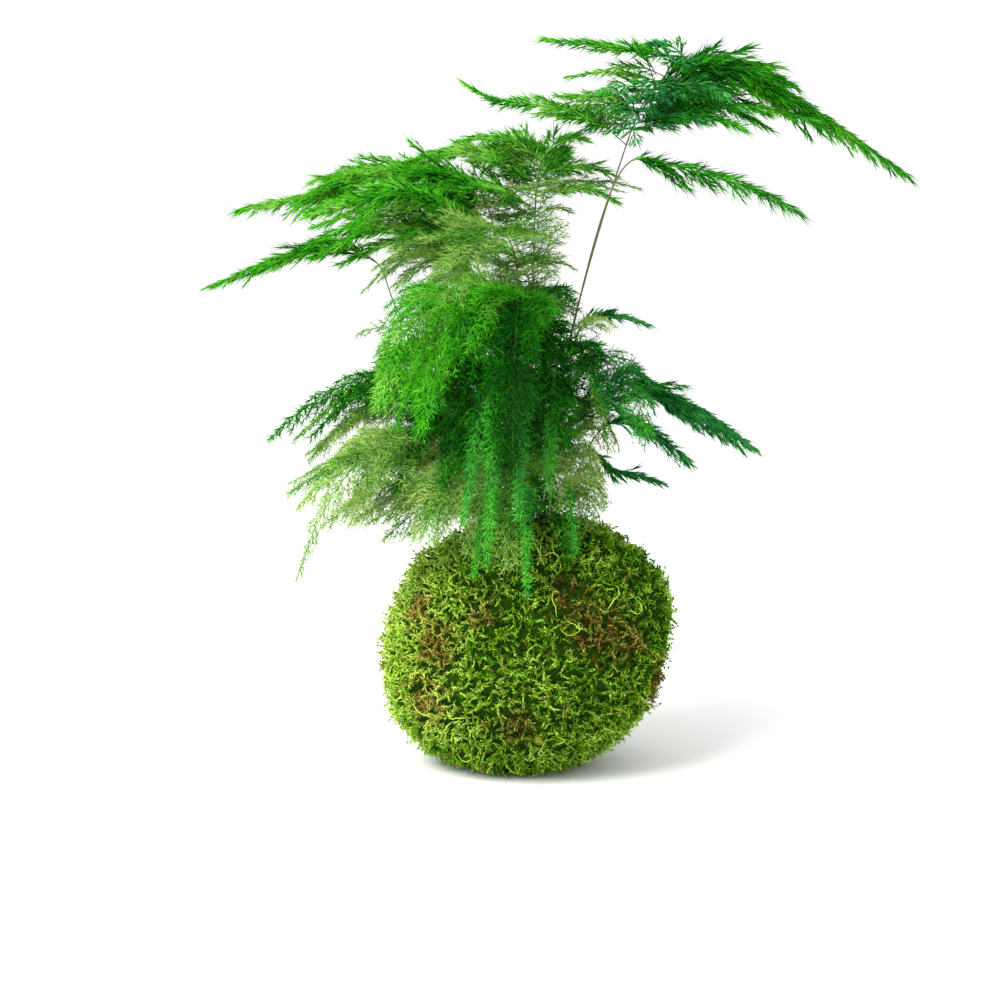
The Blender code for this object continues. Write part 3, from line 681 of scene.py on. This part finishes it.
def moss_material():
    """Yellow-green leafy moss: light leaf tips, brown dry patches, painted light on its left and top."""
    nodes = Nodes("living_moss")
    patches = nodes.noise(38, detail=3)
    shade = nodes.math("ADD", nodes.value("shade"), nodes.vary(patches, -0.22, 0.22))
    greens = ((0.012, 0.06, 0.0005), (0.05, 0.23, 0.002), (0.24, 0.56, 0.008), (0.62, 0.92, 0.12))
    browns = ((0.03, 0.014, 0.002), (0.16, 0.085, 0.012), (0.5, 0.34, 0.07))
    green = nodes.ramp(shade, *zip((0.0, 0.35, 0.65, 1.0), greens))
    brown = nodes.ramp(shade, *zip((0.1, 0.5, 0.95), browns))
    colour = nodes.blend(nodes.value("dry"), green, brown)
    grain = nodes.noise(700, detail=4)
    return nodes.finish(colour, nodes.vary(grain, 0.6, 0.9), grain, 0.15 * MM, specular=0.08)


def soil_material():
    """Dark crumbly potting soil with paler fibres."""
    nodes = Nodes("potting_soil")
    crumbs = nodes.noise(420, detail=6, roughness=0.75)
    fibres = nodes.noise(150, detail=4, distortion=3)
    browns = ((0.012, 0.007, 0.004), (0.05, 0.03, 0.016), (0.12, 0.08, 0.045))
    earth = nodes.ramp(crumbs, *zip((0.3, 0.55, 0.8), browns))
    colour = nodes.blend(nodes.span(fibres, 0.6, 0.7, 0, 0.7), earth, (0.16, 0.11, 0.06, 1))
    return nodes.finish(colour, nodes.vary(crumbs, 0.8, 1.0), crumbs, 1.0 * MM, 0.9)


def thread_material():
    """Dark green twisted thread."""
    nodes = Nodes("green_thread")
    turn = nodes.value("along")
    inputs = {"Vector": nodes.add("ShaderNodeCombineXYZ", {"X": turn}).outputs["Vector"], "Scale": 1.0}
    twist = nodes.add("ShaderNodeTexWave", inputs).outputs["Fac"]
    fibres = nodes.noise(2500, detail=3)
    strand = nodes.math("MULTIPLY", twist, fibres)
    greens = ((0.008, 0.015, 0.003), (0.02, 0.035, 0.006), (0.05, 0.07, 0.015))
    colour = nodes.ramp(strand, *zip((0.0, 0.5, 1.0), greens))
    return nodes.finish(colour, nodes.vary(fibres, 0.65, 0.85), strand, 0.1 * MM, 0.8)


def noise_material(name, noise, places, colours, roughness, *bump, **settings):
    """A material whose colour, roughness and bump all follow one noise."""
    nodes = Nodes(name)
    grain = nodes.noise(**noise)
    colour = nodes.ramp(grain, *zip(places, colours))
    return nodes.finish(colour, nodes.vary(grain, *roughness), grain, *bump, **settings)


def skin_material():
    """The matted base of the moss between its shoots, near black as painted shade."""
    noise = {"scale": 160, "detail": 5, "roughness": 0.7}
    # Near-black greens: painted shade seen between the shoots.
    greens = ((0.005, 0.016, 0.0005), (0.012, 0.04, 0.001), (0.035, 0.075, 0.003))
    places, roughness = (0.3, 0.5, 0.75), (0.75, 0.95)
    return noise_material("matted_moss_painted_shade", noise, places, greens, roughness, 1.2 * MM, 0.9, specular=0.05)


def root_material():
    """Pale fleshy root, tan where the bark is older."""
    noise = {"scale": 260, "detail": 5, "distortion": 1.5}
    tans = ((0.3, 0.19, 0.09), (0.52, 0.4, 0.24), (0.66, 0.55, 0.38))
    return noise_material("fleshy_root", noise, (0.3, 0.6, 0.8), tans, (0.6, 0.8), 0.4 * MM, 0.7)


def floor_material():
    """A nearly white studio floor."""
    noise = {"scale": 3, "detail": 2}
    whites = ((0.9, 0.9, 0.89), (0.93, 0.93, 0.92))
    return noise_material("pale_floor", noise, (0.3, 0.7), whites, (0.7, 0.8), 0.05 * MM, 0.1)


# Moss ball


def lump(directions):
    """How far the moss stands out of its ellipsoid, as in the CAD model."""
    x, y, z = np.moveaxis(directions, -1, 0)
    waves = np.sin(3.1 * x + 1.3) * np.cos(2.7 * y + 4.0 * z)
    return (SKEW_HEIGHT * 2 * x * z + LUMP_HEIGHT * waves)[..., None]


def angles_to_direction(azimuth, height):
    """The direction at an azimuth and a height angle in degrees."""
    azimuth, height = np.radians(azimuth), np.radians(height)
    level = np.cos(height)
    return np.stack([level * np.cos(azimuth), level * np.sin(azimuth), np.sin(height)], axis=-1)


def degrees_from(directions, azimuth, height):
    towards = angles_to_direction(azimuth, height)
    return np.degrees(np.arccos(np.clip(directions @ towards, -1, 1)))


def tuft_height(directions):
    """How far the tufts stand proud of the CAD model's moss."""
    proud = np.zeros(directions.shape[:-1])
    for azimuth, height, radius, rise in TUFTS:
        proud += rise * MM * np.exp(-2 * (degrees_from(directions, azimuth, height) / radius) ** 2)
    return proud[..., None]


def moss_foot(directions, lift=0.0):
    """The points of the moss between its shoots in some directions, lifted outwards by lift."""
    out = lump(directions) + tuft_height(directions) + lift
    return BALL_CENTRE + MOSS_SEMI * directions + directions * out


def grain(directions):
    """Fine bumps of the matted base, from a few slanted waves."""
    total = np.zeros(directions.shape[:-1])
    for i in range(9):
        axis = np.array((math.sin(2.4 * i + 1), math.cos(1.7 * i), math.sin(1.1 * i + 2)))
        total += np.sin((9 + 5 * i) * directions @ axis + 1.9 * i) / (1 + 0.35 * i)
    return total[..., None] / 3


def build_moss_skin():
    """The matted base of the moss: an open ball with a thick rim round the stems, flat where it rests."""
    bm = bmesh.new()
    bmesh.ops.create_icosphere(bm, subdivisions=SKIN_SUBDIVISIONS, radius=1)
    directions = unit(np.array([vert.co[:] for vert in bm.verts]))
    points = moss_foot(directions, grain(directions) * SKIN_GRAIN)
    points[:, 2] = np.maximum(points[:, 2], FLOOR_CLEARANCE)
    for vert, point in zip(bm.verts, points):
        vert.co = point
    above = [v for v in bm.verts if v.co.z > SOIL_TOP and math.hypot(v.co.x, v.co.y) < OPENING_RADIUS]
    bmesh.ops.delete(bm, geom=above, context="VERTS")
    mesh = bpy.data.meshes.new("moss_skin")
    bm.to_mesh(mesh)
    bm.free()
    mesh.materials.append(skin_material())
    skin = new_object("moss_skin", mesh)
    mesh.shade_smooth()
    solidify = skin.modifiers.new("Thickness", "SOLIDIFY")
    solidify.thickness = SKIN_THICKNESS
    solidify.offset = -1
    decimate = skin.modifiers.new("Fewer faces", "DECIMATE")
    decimate.ratio = SKIN_FACES_KEPT
    return skin


def dryness(directions, draw):
    """How dry the moss is in each direction, from 0 to 1."""
    dry = np.zeros(len(directions))
    for azimuth, height, radius in DRY_PATCHES:
        dry = np.maximum(dry, np.clip(1.6 - degrees_from(directions, azimuth, height) / radius, 0, 1))
    ragged = np.clip(dry * draw.uniform(0.5, 1.4, len(dry)), 0, 1)
    stray = draw.random(len(dry)) < DRY_STRAYS
    return np.where(stray, np.maximum(ragged, STRAY_DRYNESS), ragged)


def even_directions(count, draw):
    """Directions spread evenly over the ball, with some jitter."""
    numbers = np.arange(count) + 0.5
    height = 1 - 2 * numbers / count
    turn = GOLDEN_ANGLE * numbers
    level = np.sqrt(1 - height**2)
    directions = np.stack([level * np.cos(turn), level * np.sin(turn), height], axis=1)
    return unit(directions + draw.normal(0, EVEN_JITTER, directions.shape))


def open_moss(directions):
    """Those of some directions in which moss grows: not over the stems, and not where the ball rests."""
    feet = moss_foot(directions)
    in_opening = (np.hypot(feet[:, 0], feet[:, 1]) < OPENING_RADIUS) & (feet[:, 2] > SOIL_TOP)
    under = feet[:, 2] < 4 * FLOOR_CLEARANCE
    return directions[~in_opening & ~under]


def grow_moss(geometry, directions, lengths, erect, pairs, draw):
    """Grows curly leafy shoots out of the ball. erect is how upright each one starts, from 0 to 1."""
    count = len(directions)
    outward = unit(directions / MOSS_SEMI)
    first = uphill(outward)
    second = np.cross(outward, first)
    turn = draw.uniform(0, math.tau, count)
    curl = draw.normal(0, 0.75, count)
    lean = mix(draw.uniform(*LYING, count), draw.uniform(*STANDING, count), erect)
    fall = draw.uniform(*FALL, count)
    points = [moss_foot(directions, -SHOOT_DEPTH)]
    for step in range(1, SHOOT_POINTS):
        angle = np.radians(lean + fall * (step - 1))[:, None]
        heading = (turn + curl * step)[:, None]
        move = turned(outward, turned(first, second, heading), angle)
        points.append(points[-1] + move * lengths[:, None] / (SHOOT_POINTS - 1))
    points = np.stack(points, axis=1)
    points[..., 2] = np.maximum(points[..., 2], 2 * FLOOR_CLEARANCE)
    dry = dryness(directions, draw)
    x, y, z = directions.T
    # Painted light: shoots lighter on the left and at the top, where the key lamp falls, and darker on the
    # right.
    painted_key_light = 0.62 - 0.25 * x + 0.05 * z
    shade = np.clip(painted_key_light + draw.normal(0, 0.18, count), 0.02, 1)
    values = {"shade": (0.7 * shade)[:, None], "dry": dry[:, None]}
    add_twigs(geometry, points, SHOOT_RADIUS, MOSS_TIP_SHARE, outward + first, **values)
    for number in range(pairs):
        place = (number + 1) / pairs
        feet, axis = on_rows(points, np.arange(count), np.full(count, min(place, 0.98)))
        spin = (GOLDEN_ANGLE * number + turn * 7)[:, None]
        side = across_from(axis, outward + 0.01)
        across = turned(side, np.cross(axis, side), spin)
        slants = LEAF_SLANT * (1.15 - 0.5 * place) + draw.normal(0, 0.17, (count, 2))
        sizes = draw.uniform(*LEAF_LENGTHS, (count, 2)) * (1.1 - 0.35 * place)
        low = feet[:, 2] < LEAF_LENGTHS[1]
        sizes[low] = np.minimum(sizes[low], feet[low, 2:] - FLOOR_CLEARANCE)
        light = np.clip(shade[:, None] + draw.normal(0.04, 0.07, (count, 1)), 0, 1)
        # Each leaf is darker at its foot, as painted shade deep in the moss, and paler at its tip and on
        # the outer leaves.
        along_leaf = foot_and_tip(-0.2, 0.22) + 0.2 * place
        values["shade"] = np.clip(light + along_leaf, 0, 1)
        add_forks(geometry, feet, axis, across, slants, sizes, LEAF_HALF_WIDTH, LEAF_KEEL, **values)


def grow_sprouts(geometry, directions, draw):
    """Fills the ground between the shoots with short pairs of leaves."""
    count = len(directions)
    outward = unit(directions / MOSS_SEMI)
    axis = unit(outward + draw.normal(0, 0.3, outward.shape))
    across = across_from(axis, draw.normal(0, 1, outward.shape))
    slants = draw.uniform(*SPROUT_SLANTS, (count, 2))
    lengths = draw.uniform(*SPROUT_LENGTHS, (count, 2))
    feet = moss_foot(directions, -SPROUT_DEPTH)
    lengths = np.minimum(lengths, feet[:, 2:] - FLOOR_CLEARANCE)
    # The sprouts are dark, as painted shade under the shoots, and lighter towards their tips.
    shade = draw.uniform(0.05, 0.3, (count, 1)) + foot_and_tip(-0.1, 0.12)
    values = {"shade": np.clip(shade, 0, 1), "dry": dryness(directions, draw)[:, None]}
    add_forks(geometry, feet, axis, across, slants, lengths, LEAF_HALF_WIDTH, LEAF_KEEL, **values)


def grow_strands(geometry, directions, draw):
    """Lays pale bare strands over the moss, each one winding its own way."""
    count = len(directions)
    heading = draw.uniform(0, math.tau, count)
    curl = draw.normal(0, 0.3, count)
    points = []
    for share in np.linspace(0, 1, STRAND_POINTS):
        lift = STRAND_LIFT * (0.25 + math.sin(math.pi * share)) + draw.normal(0, STRAND_WAVES, (count, 1))
        points.append(moss_foot(directions, lift))
        first = uphill(directions)
        along = turned(first, np.cross(directions, first), heading[:, None])
        directions = unit(directions + along * STRAND_STEP / MOSS_SEMI[0])
        heading = heading + curl + draw.normal(0, 0.5, count)
    points = np.stack(points, axis=1)
    points[..., 2] = np.maximum(points[..., 2], 2 * FLOOR_CLEARANCE)
    shade = draw.uniform(0.85, 1.0, (count, 1))
    dry = draw.uniform(0, 0.5, (count, 1))
    add_twigs(geometry, points, STRAND_RADIUS, MOSS_TIP_SHARE, directions, shade=shade, dry=dry)


def build_moss_shoots():
    """The shoots, wisps, sprouts and strands of the upper and of the lower half of the ball."""
    draw = np.random.default_rng(MOSS_SEED)
    shoots = open_moss(even_directions(SHOOT_COUNT, draw))
    sprouts = open_moss(even_directions(SPROUT_COUNT, draw))
    material = moss_material()
    pieces = []
    halves = (("moss_shoots_upper", True, 0.7, 0.8), ("moss_shoots_lower", False, -0.75, -0.8))
    for name, upper, wisp_height, strand_height in halves:
        geometry = Geometry()
        rows = shoots[(shoots[:, 2] > 0) == upper]
        lengths = draw.uniform(*SHOOT_LENGTHS, len(rows))
        erect = np.clip(draw.normal(0.45, 0.25, len(rows)) - 0.35 * rows[:, 0], 0, 1)
        grow_moss(geometry, rows, lengths, erect, LEAF_PAIRS, draw)
        wisps = unit(draw.normal(0, 1, (WISP_COUNT // 2, 3)))
        wisps[:, 0] -= 0.5
        wisps[:, 2] = np.abs(wisps[:, 2]) * wisp_height
        wisps = unit(wisps)
        lengths = draw.uniform(*WISP_LENGTHS, len(wisps))
        erect = np.full(len(wisps), WISP_ERECT)
        grow_moss(geometry, wisps, lengths, erect, WISP_LEAF_PAIRS, draw)
        grow_sprouts(geometry, sprouts[(sprouts[:, 2] > 0) == upper], draw)
        strands = unit(draw.normal(0, 1, (STRAND_COUNT // 2, 3)))
        strands[:, 2] = np.abs(strands[:, 2]) * strand_height
        grow_strands(geometry, unit(strands), draw)
        pieces.append(geometry.piece(name, material))
    return pieces


def build_thread():
    """Three turns of thread, drawn down into the moss."""
    geometry = Geometry()
    tilt = math.cos(THREAD_TILT)
    angles = math.tau * np.arange(THREAD_POINTS) / THREAD_POINTS
    for turn in np.radians(THREAD_TURNS):
        normal = np.array((tilt * math.cos(turn), tilt * math.sin(turn), math.sin(THREAD_TILT)))
        first = across_from(normal, UP)
        second = np.cross(normal, first)
        directions = turned(first, second, angles[:, None])
        slack = THREAD_SLACK * np.sin(THREAD_WAVES * angles)[:, None]
        points = moss_foot(directions, THREAD_LIFT + slack)[None]
        points[..., 2] = np.maximum(points[..., 2], THREAD_RADIUS + FLOOR_CLEARANCE)
        radii = np.full((1, THREAD_POINTS), THREAD_RADIUS)
        along = np.repeat(np.arange(THREAD_POINTS), THREAD_SIDES)[None]
        add_tubes(geometry, points, radii, THREAD_SIDES, normal[None], closed=True, along=along)
    return geometry.piece("fine_thread", thread_material())


# Fronds


class Path:
    """A smooth curve through points, measured along its length, as in the CAD model."""

    def __init__(self, points):
        points = np.asarray(points, float)
        ends = [2 * points[0] - points[1], *points, 2 * points[-1] - points[-2]]
        samples = [points[:1]]
        t = (np.arange(1, PATH_STEPS + 1) / PATH_STEPS)[:, None]
        for a, b, c, d in zip(ends, ends[1:], ends[2:], ends[3:]):
            rise = (c - a) * t + (2 * a - 5 * b + 4 * c - d) * t**2 + (3 * b - a - 3 * c + d) * t**3
            samples.append(b + rise / 2)
        self.samples = np.concatenate(samples)
        spans = np.linalg.norm(np.diff(self.samples, axis=0), axis=1)
        self.lengths = np.append(0, np.cumsum(spans))
        self.length = self.lengths[-1]

    def at(self, distances):
        return np.stack([np.interp(distances, self.lengths, row) for row in self.samples.T], axis=-1)

    def directions(self, distances):
        return unit(self.at(distances + MM) - self.at(distances - MM))

    def length_at(self, point):
        return self.lengths[np.linalg.norm(self.samples - point, axis=1).argmin()]


def plane_point(azimuth, point):
    """A point given by its reach and its height in mm, in the upright plane at an azimuth."""
    turn = math.radians(azimuth)
    reach, height = point
    return np.array((reach * math.cos(turn), reach * math.sin(turn), height)) * MM


def stem_foot(frond):
    """Where a stem stands: the stems of a ring are spread evenly round it, in order of azimuth."""
    ring = sorted(other.azimuth % 360 for other in FRONDS if other.ring == frond.ring)
    spacing = 360 / len(ring)
    offset = sum(azimuth - spacing * i for i, azimuth in enumerate(ring)) / len(ring)
    turn = math.radians(offset + spacing * ring.index(frond.azimuth % 360))
    return frond.ring * math.cos(turn), frond.ring * math.sin(turn)


def frond_path(frond):
    """The path of a stem and its rachis, from just above the root crown, upright to above the soil."""
    foot = stem_foot(frond)
    radius, rise = CROWN_SEMI
    crown_top = CROWN_TOP + rise * math.sqrt(1 - (frond.ring / radius) ** 2)
    heights = (crown_top + GAP, SOIL_TOP + COLLAR, SOIL_TOP + 3 * COLLAR)
    upright = [(*foot, height) for height in heights]
    return Path([*upright, *(plane_point(frond.azimuth, point) for point in frond.points)])


def on_rows(points, rows, shares):
    """Places and directions at shares of the length of some rows of points."""
    last = points.shape[1] - 1
    place = np.clip(shares, 0, 0.9999) * last
    step = place.astype(int)
    start, end = points[rows, step], points[rows, step + 1]
    return start + (end - start) * (place - step)[:, None], unit(end - start)


def spread(counts):
    """For a count for each row, the row and the number within it of every item."""
    rows = np.repeat(np.arange(len(counts)), counts)
    firsts = np.cumsum(counts) - counts
    return rows, np.arange(len(rows)) - np.repeat(firsts, counts)


def spray_width(share, taper):
    """A spray's half width along it, as a share of its widest: a long triangle with a rounded foot."""
    return np.minimum(1, 0.66 + 2.4 * share) * (1 - share) ** taper + 0.1


def arch(starts, headings, forwards, lengths, lifts, droop, count):
    """Rows of points that swing forward, rise by the slope lift and droop towards their ends."""
    shares = np.linspace(0, 1, count)[None, :, None]
    headings, forwards = headings[:, None], forwards[:, None]
    swung = unit(headings + forwards * BRANCH_SWING * shares)
    rise = (lifts[:, None, None] - droop * shares) * shares
    return starts[:, None] + (swung + UP * rise) * lengths[:, None, None] * shares


def grow_needles(geometry, style, points, lengths, normals, light_and_youth, draw):
    """Clothes twigs with pairs of needles. Each twig's lightness, 0 to 1, tells its youth and its painted
    shade.
    """
    counts = np.maximum(1, np.round(lengths / (style.needle_step * MM))).astype(int)
    rows, numbers = spread(counts)
    total = len(rows)
    shares = (numbers + draw.uniform(0.2, 1.0, total)) / counts[rows]
    feet, axis = on_rows(points, rows, shares)
    normal = across_from(axis, normals[rows])
    side = np.cross(axis, normal)
    spin = numbers * 1.9 + draw.uniform(-0.5, 0.5, total)
    across = unit(side * np.cos(spin)[:, None] + normal * (style.flatness * np.sin(spin))[:, None])
    slants = np.radians(style.slant + draw.normal(0, NEEDLE_SPREAD, (total, 2)))
    sizes = style.needle_length * MM * draw.uniform(*NEEDLE_SIZES, (total, 2))
    sizes = sizes * (1 - 0.45 * shares**3)[:, None]
    light = light_and_youth[rows][:, None] + draw.normal(0, NEEDLE_LIGHTS, (total, 1))
    half = style.needle_half * MM
    values = {"light": np.clip(light + foot_and_tip(-0.16, 0.2), 0, 1), "warmth": style.warmth, "wood": 0.0}
    add_forks(geometry, feet, axis, across, slants, sizes, half, 2 * half, **values)


def grow_spray(geometry, style, path, start, side_hint, half_widths, draw):
    """Grows the side branches, branchlets and needles of a spray, along its rachis from start on.

    The half widths are those of its +side and of its -side.
    """
    leafy = path.length - start
    pairs = max(4, round(leafy / (style.branch_step * MM)))
    numbers = np.repeat(np.arange(pairs), 2)
    signs = np.tile((1.0, -1.0), pairs)
    places = numbers + 0.25 * signs + draw.uniform(0.2, 0.6, len(numbers))
    shares = np.clip(places / (pairs + 0.5), 0.01, 0.985)
    places = start + leafy * shares
    tangents = path.directions(places)
    side = across_from(tangents, np.broadcast_to(side_hint, tangents.shape))
    normals = np.cross(side, tangents)
    angles = style.swept * mix(BRANCH_ANGLE, BRANCH_TIP_ANGLE, shares)
    angles = np.radians(angles + draw.normal(0, BRANCH_SPREAD, len(shares)))[:, None]
    headings = turned(tangents, side * signs[:, None], angles)
    widths = np.where(signs > 0, *half_widths) * MM
    lengths = widths * spray_width(shares, style.taper) * draw.uniform(*BRANCH_SIZES, len(shares))
    lifts = draw.normal(0.02, 0.12, len(shares))
    branches = arch(path.at(places), headings, tangents, lengths, lifts, style.droop, BRANCH_POINTS)
    sway = draw.normal(0, BRANCH_SWAY, branches.shape) * lengths[:, None, None]
    branches[:, 1:] += sway[:, 1:]
    # Each branch's lightness runs from the style's foot to its tip: young growth, and painted shade in the
    # darker styles.
    light_and_youth = np.clip(mix(*style.light, shares) + draw.normal(0, BRANCH_LIGHTS, len(shares)), 0, 1)
    values = {"light": light_and_youth[:, None], "warmth": style.warmth, "wood": 0.5}
    add_twigs(geometry, branches, BRANCH_RADIUS, TWIG_TIP_SHARE, normals, **values)

    counts = np.maximum(1, (lengths / (style.branchlet_step * MM)).astype(int))
    rows, numbers = spread(counts)
    at = (numbers + draw.uniform(0.3, 0.9, len(rows))) / (counts[rows] + 0.4)
    starts, axis = on_rows(branches, rows, at)
    normal = across_from(axis, normals[rows])
    signs = np.where(numbers % 2, 1.0, -1.0)[:, None]
    out = np.cross(axis, normal) * signs
    opening = np.radians(draw.normal(style.opening, BRANCHLET_SPREAD, len(rows)))[:, None]
    wander = normal * draw.normal(0, 0.16, (len(rows), 1))
    headings = unit(turned(axis, out, opening) + wander)
    sizes = lengths[rows] * style.branchlet_share * (1 - at) ** 0.7
    sizes = np.clip(sizes * draw.uniform(*BRANCHLET_SIZES, len(rows)), *BRANCHLET_LENGTHS)
    lifts = draw.normal(0, 0.1, len(rows))
    twigs = arch(starts, headings, axis, sizes, lifts, 0.6 * style.droop, BRANCHLET_POINTS)
    twig_light_and_youth = light_and_youth[rows] + 0.15 * at + draw.normal(0, BRANCHLET_LIGHTS, len(rows))
    twig_light_and_youth = np.clip(twig_light_and_youth, 0, 1)
    values = {"light": twig_light_and_youth[:, None], "warmth": style.warmth, "wood": 0.25}
    add_twigs(geometry, twigs, BRANCHLET_RADIUS, TWIG_TIP_SHARE, normal, **values)

    grow_needles(geometry, style, branches, lengths, normals, light_and_youth, draw)
    grow_needles(geometry, style, twigs, sizes, normal, twig_light_and_youth, draw)
    rachis = path.at(np.linspace(start, path.length, RACHIS_NEEDLE_POINTS))[None]
    # The rachis's needles take the style's tip lightness, with its painted shade.
    length, tip_light_and_youth = np.array((leafy,)), np.array((style.light[1],))
    grow_needles(geometry, style, rachis, length, normals[:1], tip_light_and_youth, draw)


def add_rachis(geometry, path, leafy, radii):
    """The stem and rachis of a spray: bare bark up to leafy, then greener and thinner towards the tip."""
    count = max(8, round(path.length / RACHIS_STEP))
    places = np.linspace(0, path.length, count)
    thin = np.clip((places - leafy) / (path.length - leafy), 0, 1)
    bare = mix(radii[0], radii[1], np.clip(places / max(leafy, MM), 0, 1))
    knots = 1 + 0.14 * (np.arange(count) % 4 == 0)
    wood = np.repeat(mix(1.0, 0.1, np.minimum(1, 3 * thin)), RACHIS_SIDES)[: 1 - RACHIS_SIDES]
    tube = path.at(places)[None]
    tube_radii = (mix(bare, RACHIS_TIP_RADIUS, thin) * knots)[None]
    values = {"light": 0.3, "warmth": 0.6, "wood": wood[None]}
    add_tubes(geometry, tube, tube_radii, RACHIS_SIDES, np.array(((0.3, 0.9, 0.1),)), **values)


def side_hint_at(azimuth, front_tilt):
    """The direction across a spray, leaning down towards the front by the slope front_tilt."""
    turn = math.radians(azimuth)
    return np.array((math.sin(turn), -math.cos(turn), -math.cos(turn) * front_tilt))


def arm_path(frond, path, leafy, arm):
    """The rachis of an arm, from where it forks off the frond's own."""
    fork = path.at(leafy + arm.past * MM)
    return Path([fork, *(plane_point(frond.azimuth, point) for point in arm.points)])


def spray_path(path, spray):
    """The rachis of a further spray, from its stem outwards."""
    stem = path.samples[: path.samples[:, 2].argmax() + 1]
    foot = stem[np.abs(stem[:, 2] - spray.height * MM).argmin()]
    steps = ((0.3, 0.8 * spray.rise), (0.65, spray.rise), (1.0, spray.end))
    return Path([foot, *(foot + plane_point(spray.azimuth, (spray.reach * a, b)) for a, b in steps)])


def grow_further_spray(geometry, style, rachis, start, side_hint, half_width, draw):
    """A spray on a thin rachis of its own, as wide on one side as on the other."""
    add_rachis(geometry, rachis, 0, SPRAY_RADII)
    grow_spray(geometry, style, rachis, start, side_hint, (half_width, half_width), draw)


def build_frond(number, frond, material):
    """One frond's foliage, in place of its CAD node."""
    draw = np.random.default_rng(FROND_SEED + number)
    geometry = Geometry()
    path = frond_path(frond)
    side_hint = side_hint_at(frond.azimuth, frond.front_tilt)
    leafy = path.length_at(plane_point(frond.azimuth, frond.points[1]))
    widths = (frond.half_width, frond.half_width * frond.far_share)
    if math.cos(math.radians(frond.azimuth)) < 0:
        widths = widths[::-1]
    add_rachis(geometry, path, leafy, STEM_RADII)
    grow_spray(geometry, frond.style, path, leafy + frond.bare * MM, side_hint, widths, draw)
    for arm in ARMS.get(frond.name, ()):
        rachis = arm_path(frond, path, leafy, arm)
        grow_further_spray(geometry, STREAKS, rachis, ARM_ROOT, side_hint, arm.half_width, draw)
    for spray in (Spray(*row) for row in SPRAYS.get(frond.name, ())):
        rachis = spray_path(path, spray)
        side_hint = side_hint_at(spray.azimuth, spray.front_tilt)
        grow_further_spray(geometry, spray.style, rachis, SPRAY_ROOT, side_hint, spray.half_width, draw)
    piece = geometry.piece(f"foliage_{frond.name}", material)
    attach(piece, "root")
    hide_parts(f"frond_{frond.name}")


# Stage


def build_stage():
    """The floor and the even light of the studio."""
    bpy.ops.mesh.primitive_circle_add(vertices=FLOOR_SIDES, radius=FLOOR_RADIUS, fill_type="NGON")
    floor = bpy.context.active_object
    floor.name = "floor"
    floor.data.materials.append(floor_material())
    world = bpy.data.worlds.new("studio")
    world.use_nodes = True
    background = world.node_tree.nodes["Background"]
    background.inputs["Color"].default_value = (1, 1, 1, 1)
    background.inputs["Strength"].default_value = WORLD_STRENGTH
    bpy.context.scene.world = world


def build_key_light():
    """A broad lamp above the plant, on the left of the front."""
    light = bpy.data.lights.new("key", "AREA")
    light.shape = "DISK"
    light.size = KEY_SIZE
    light.energy = KEY_POWER
    lamp = new_object("key", light)
    lamp.location = KEY_PLACE
    lamp.rotation_euler = (KEY_TARGET - KEY_PLACE).to_track_quat("-Z", "Y").to_euler()


def build_camera():
    """The camera, in front of the plant and looking slightly down."""
    camera = bpy.data.cameras.new("camera")
    camera.lens = CAMERA_LENS
    camera.sensor_width = CAMERA_SENSOR
    camera.clip_end = CAMERA_REACH
    holder = new_object("camera", camera)
    away = Vector((0, -math.cos(CAMERA_ELEVATION), math.sin(CAMERA_ELEVATION)))
    holder.location = CAMERA_AIM + away * CAMERA_DISTANCE
    holder.rotation_euler = (-away).to_track_quat("-Z", "Y").to_euler()
    bpy.context.scene.camera = holder


build_stage()
build_key_light()
build_camera()
bpy.context.scene.view_settings.view_transform = "Standard"

foliage = foliage_material()
for number, frond in enumerate(FRONDS):
    build_frond(number, frond, foliage)

skin = build_moss_skin()
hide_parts("moss_cover")
shoots = build_moss_shoots()
for piece in (skin, *shoots):
    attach(piece, "root")

thread = build_thread()
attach(thread, "root")
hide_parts("binding_thread")

for node, material in (("soil_core", soil_material()), ("root_crown", root_material())):
    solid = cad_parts[node]
    for slot in solid.material_slots:
        slot.material = material
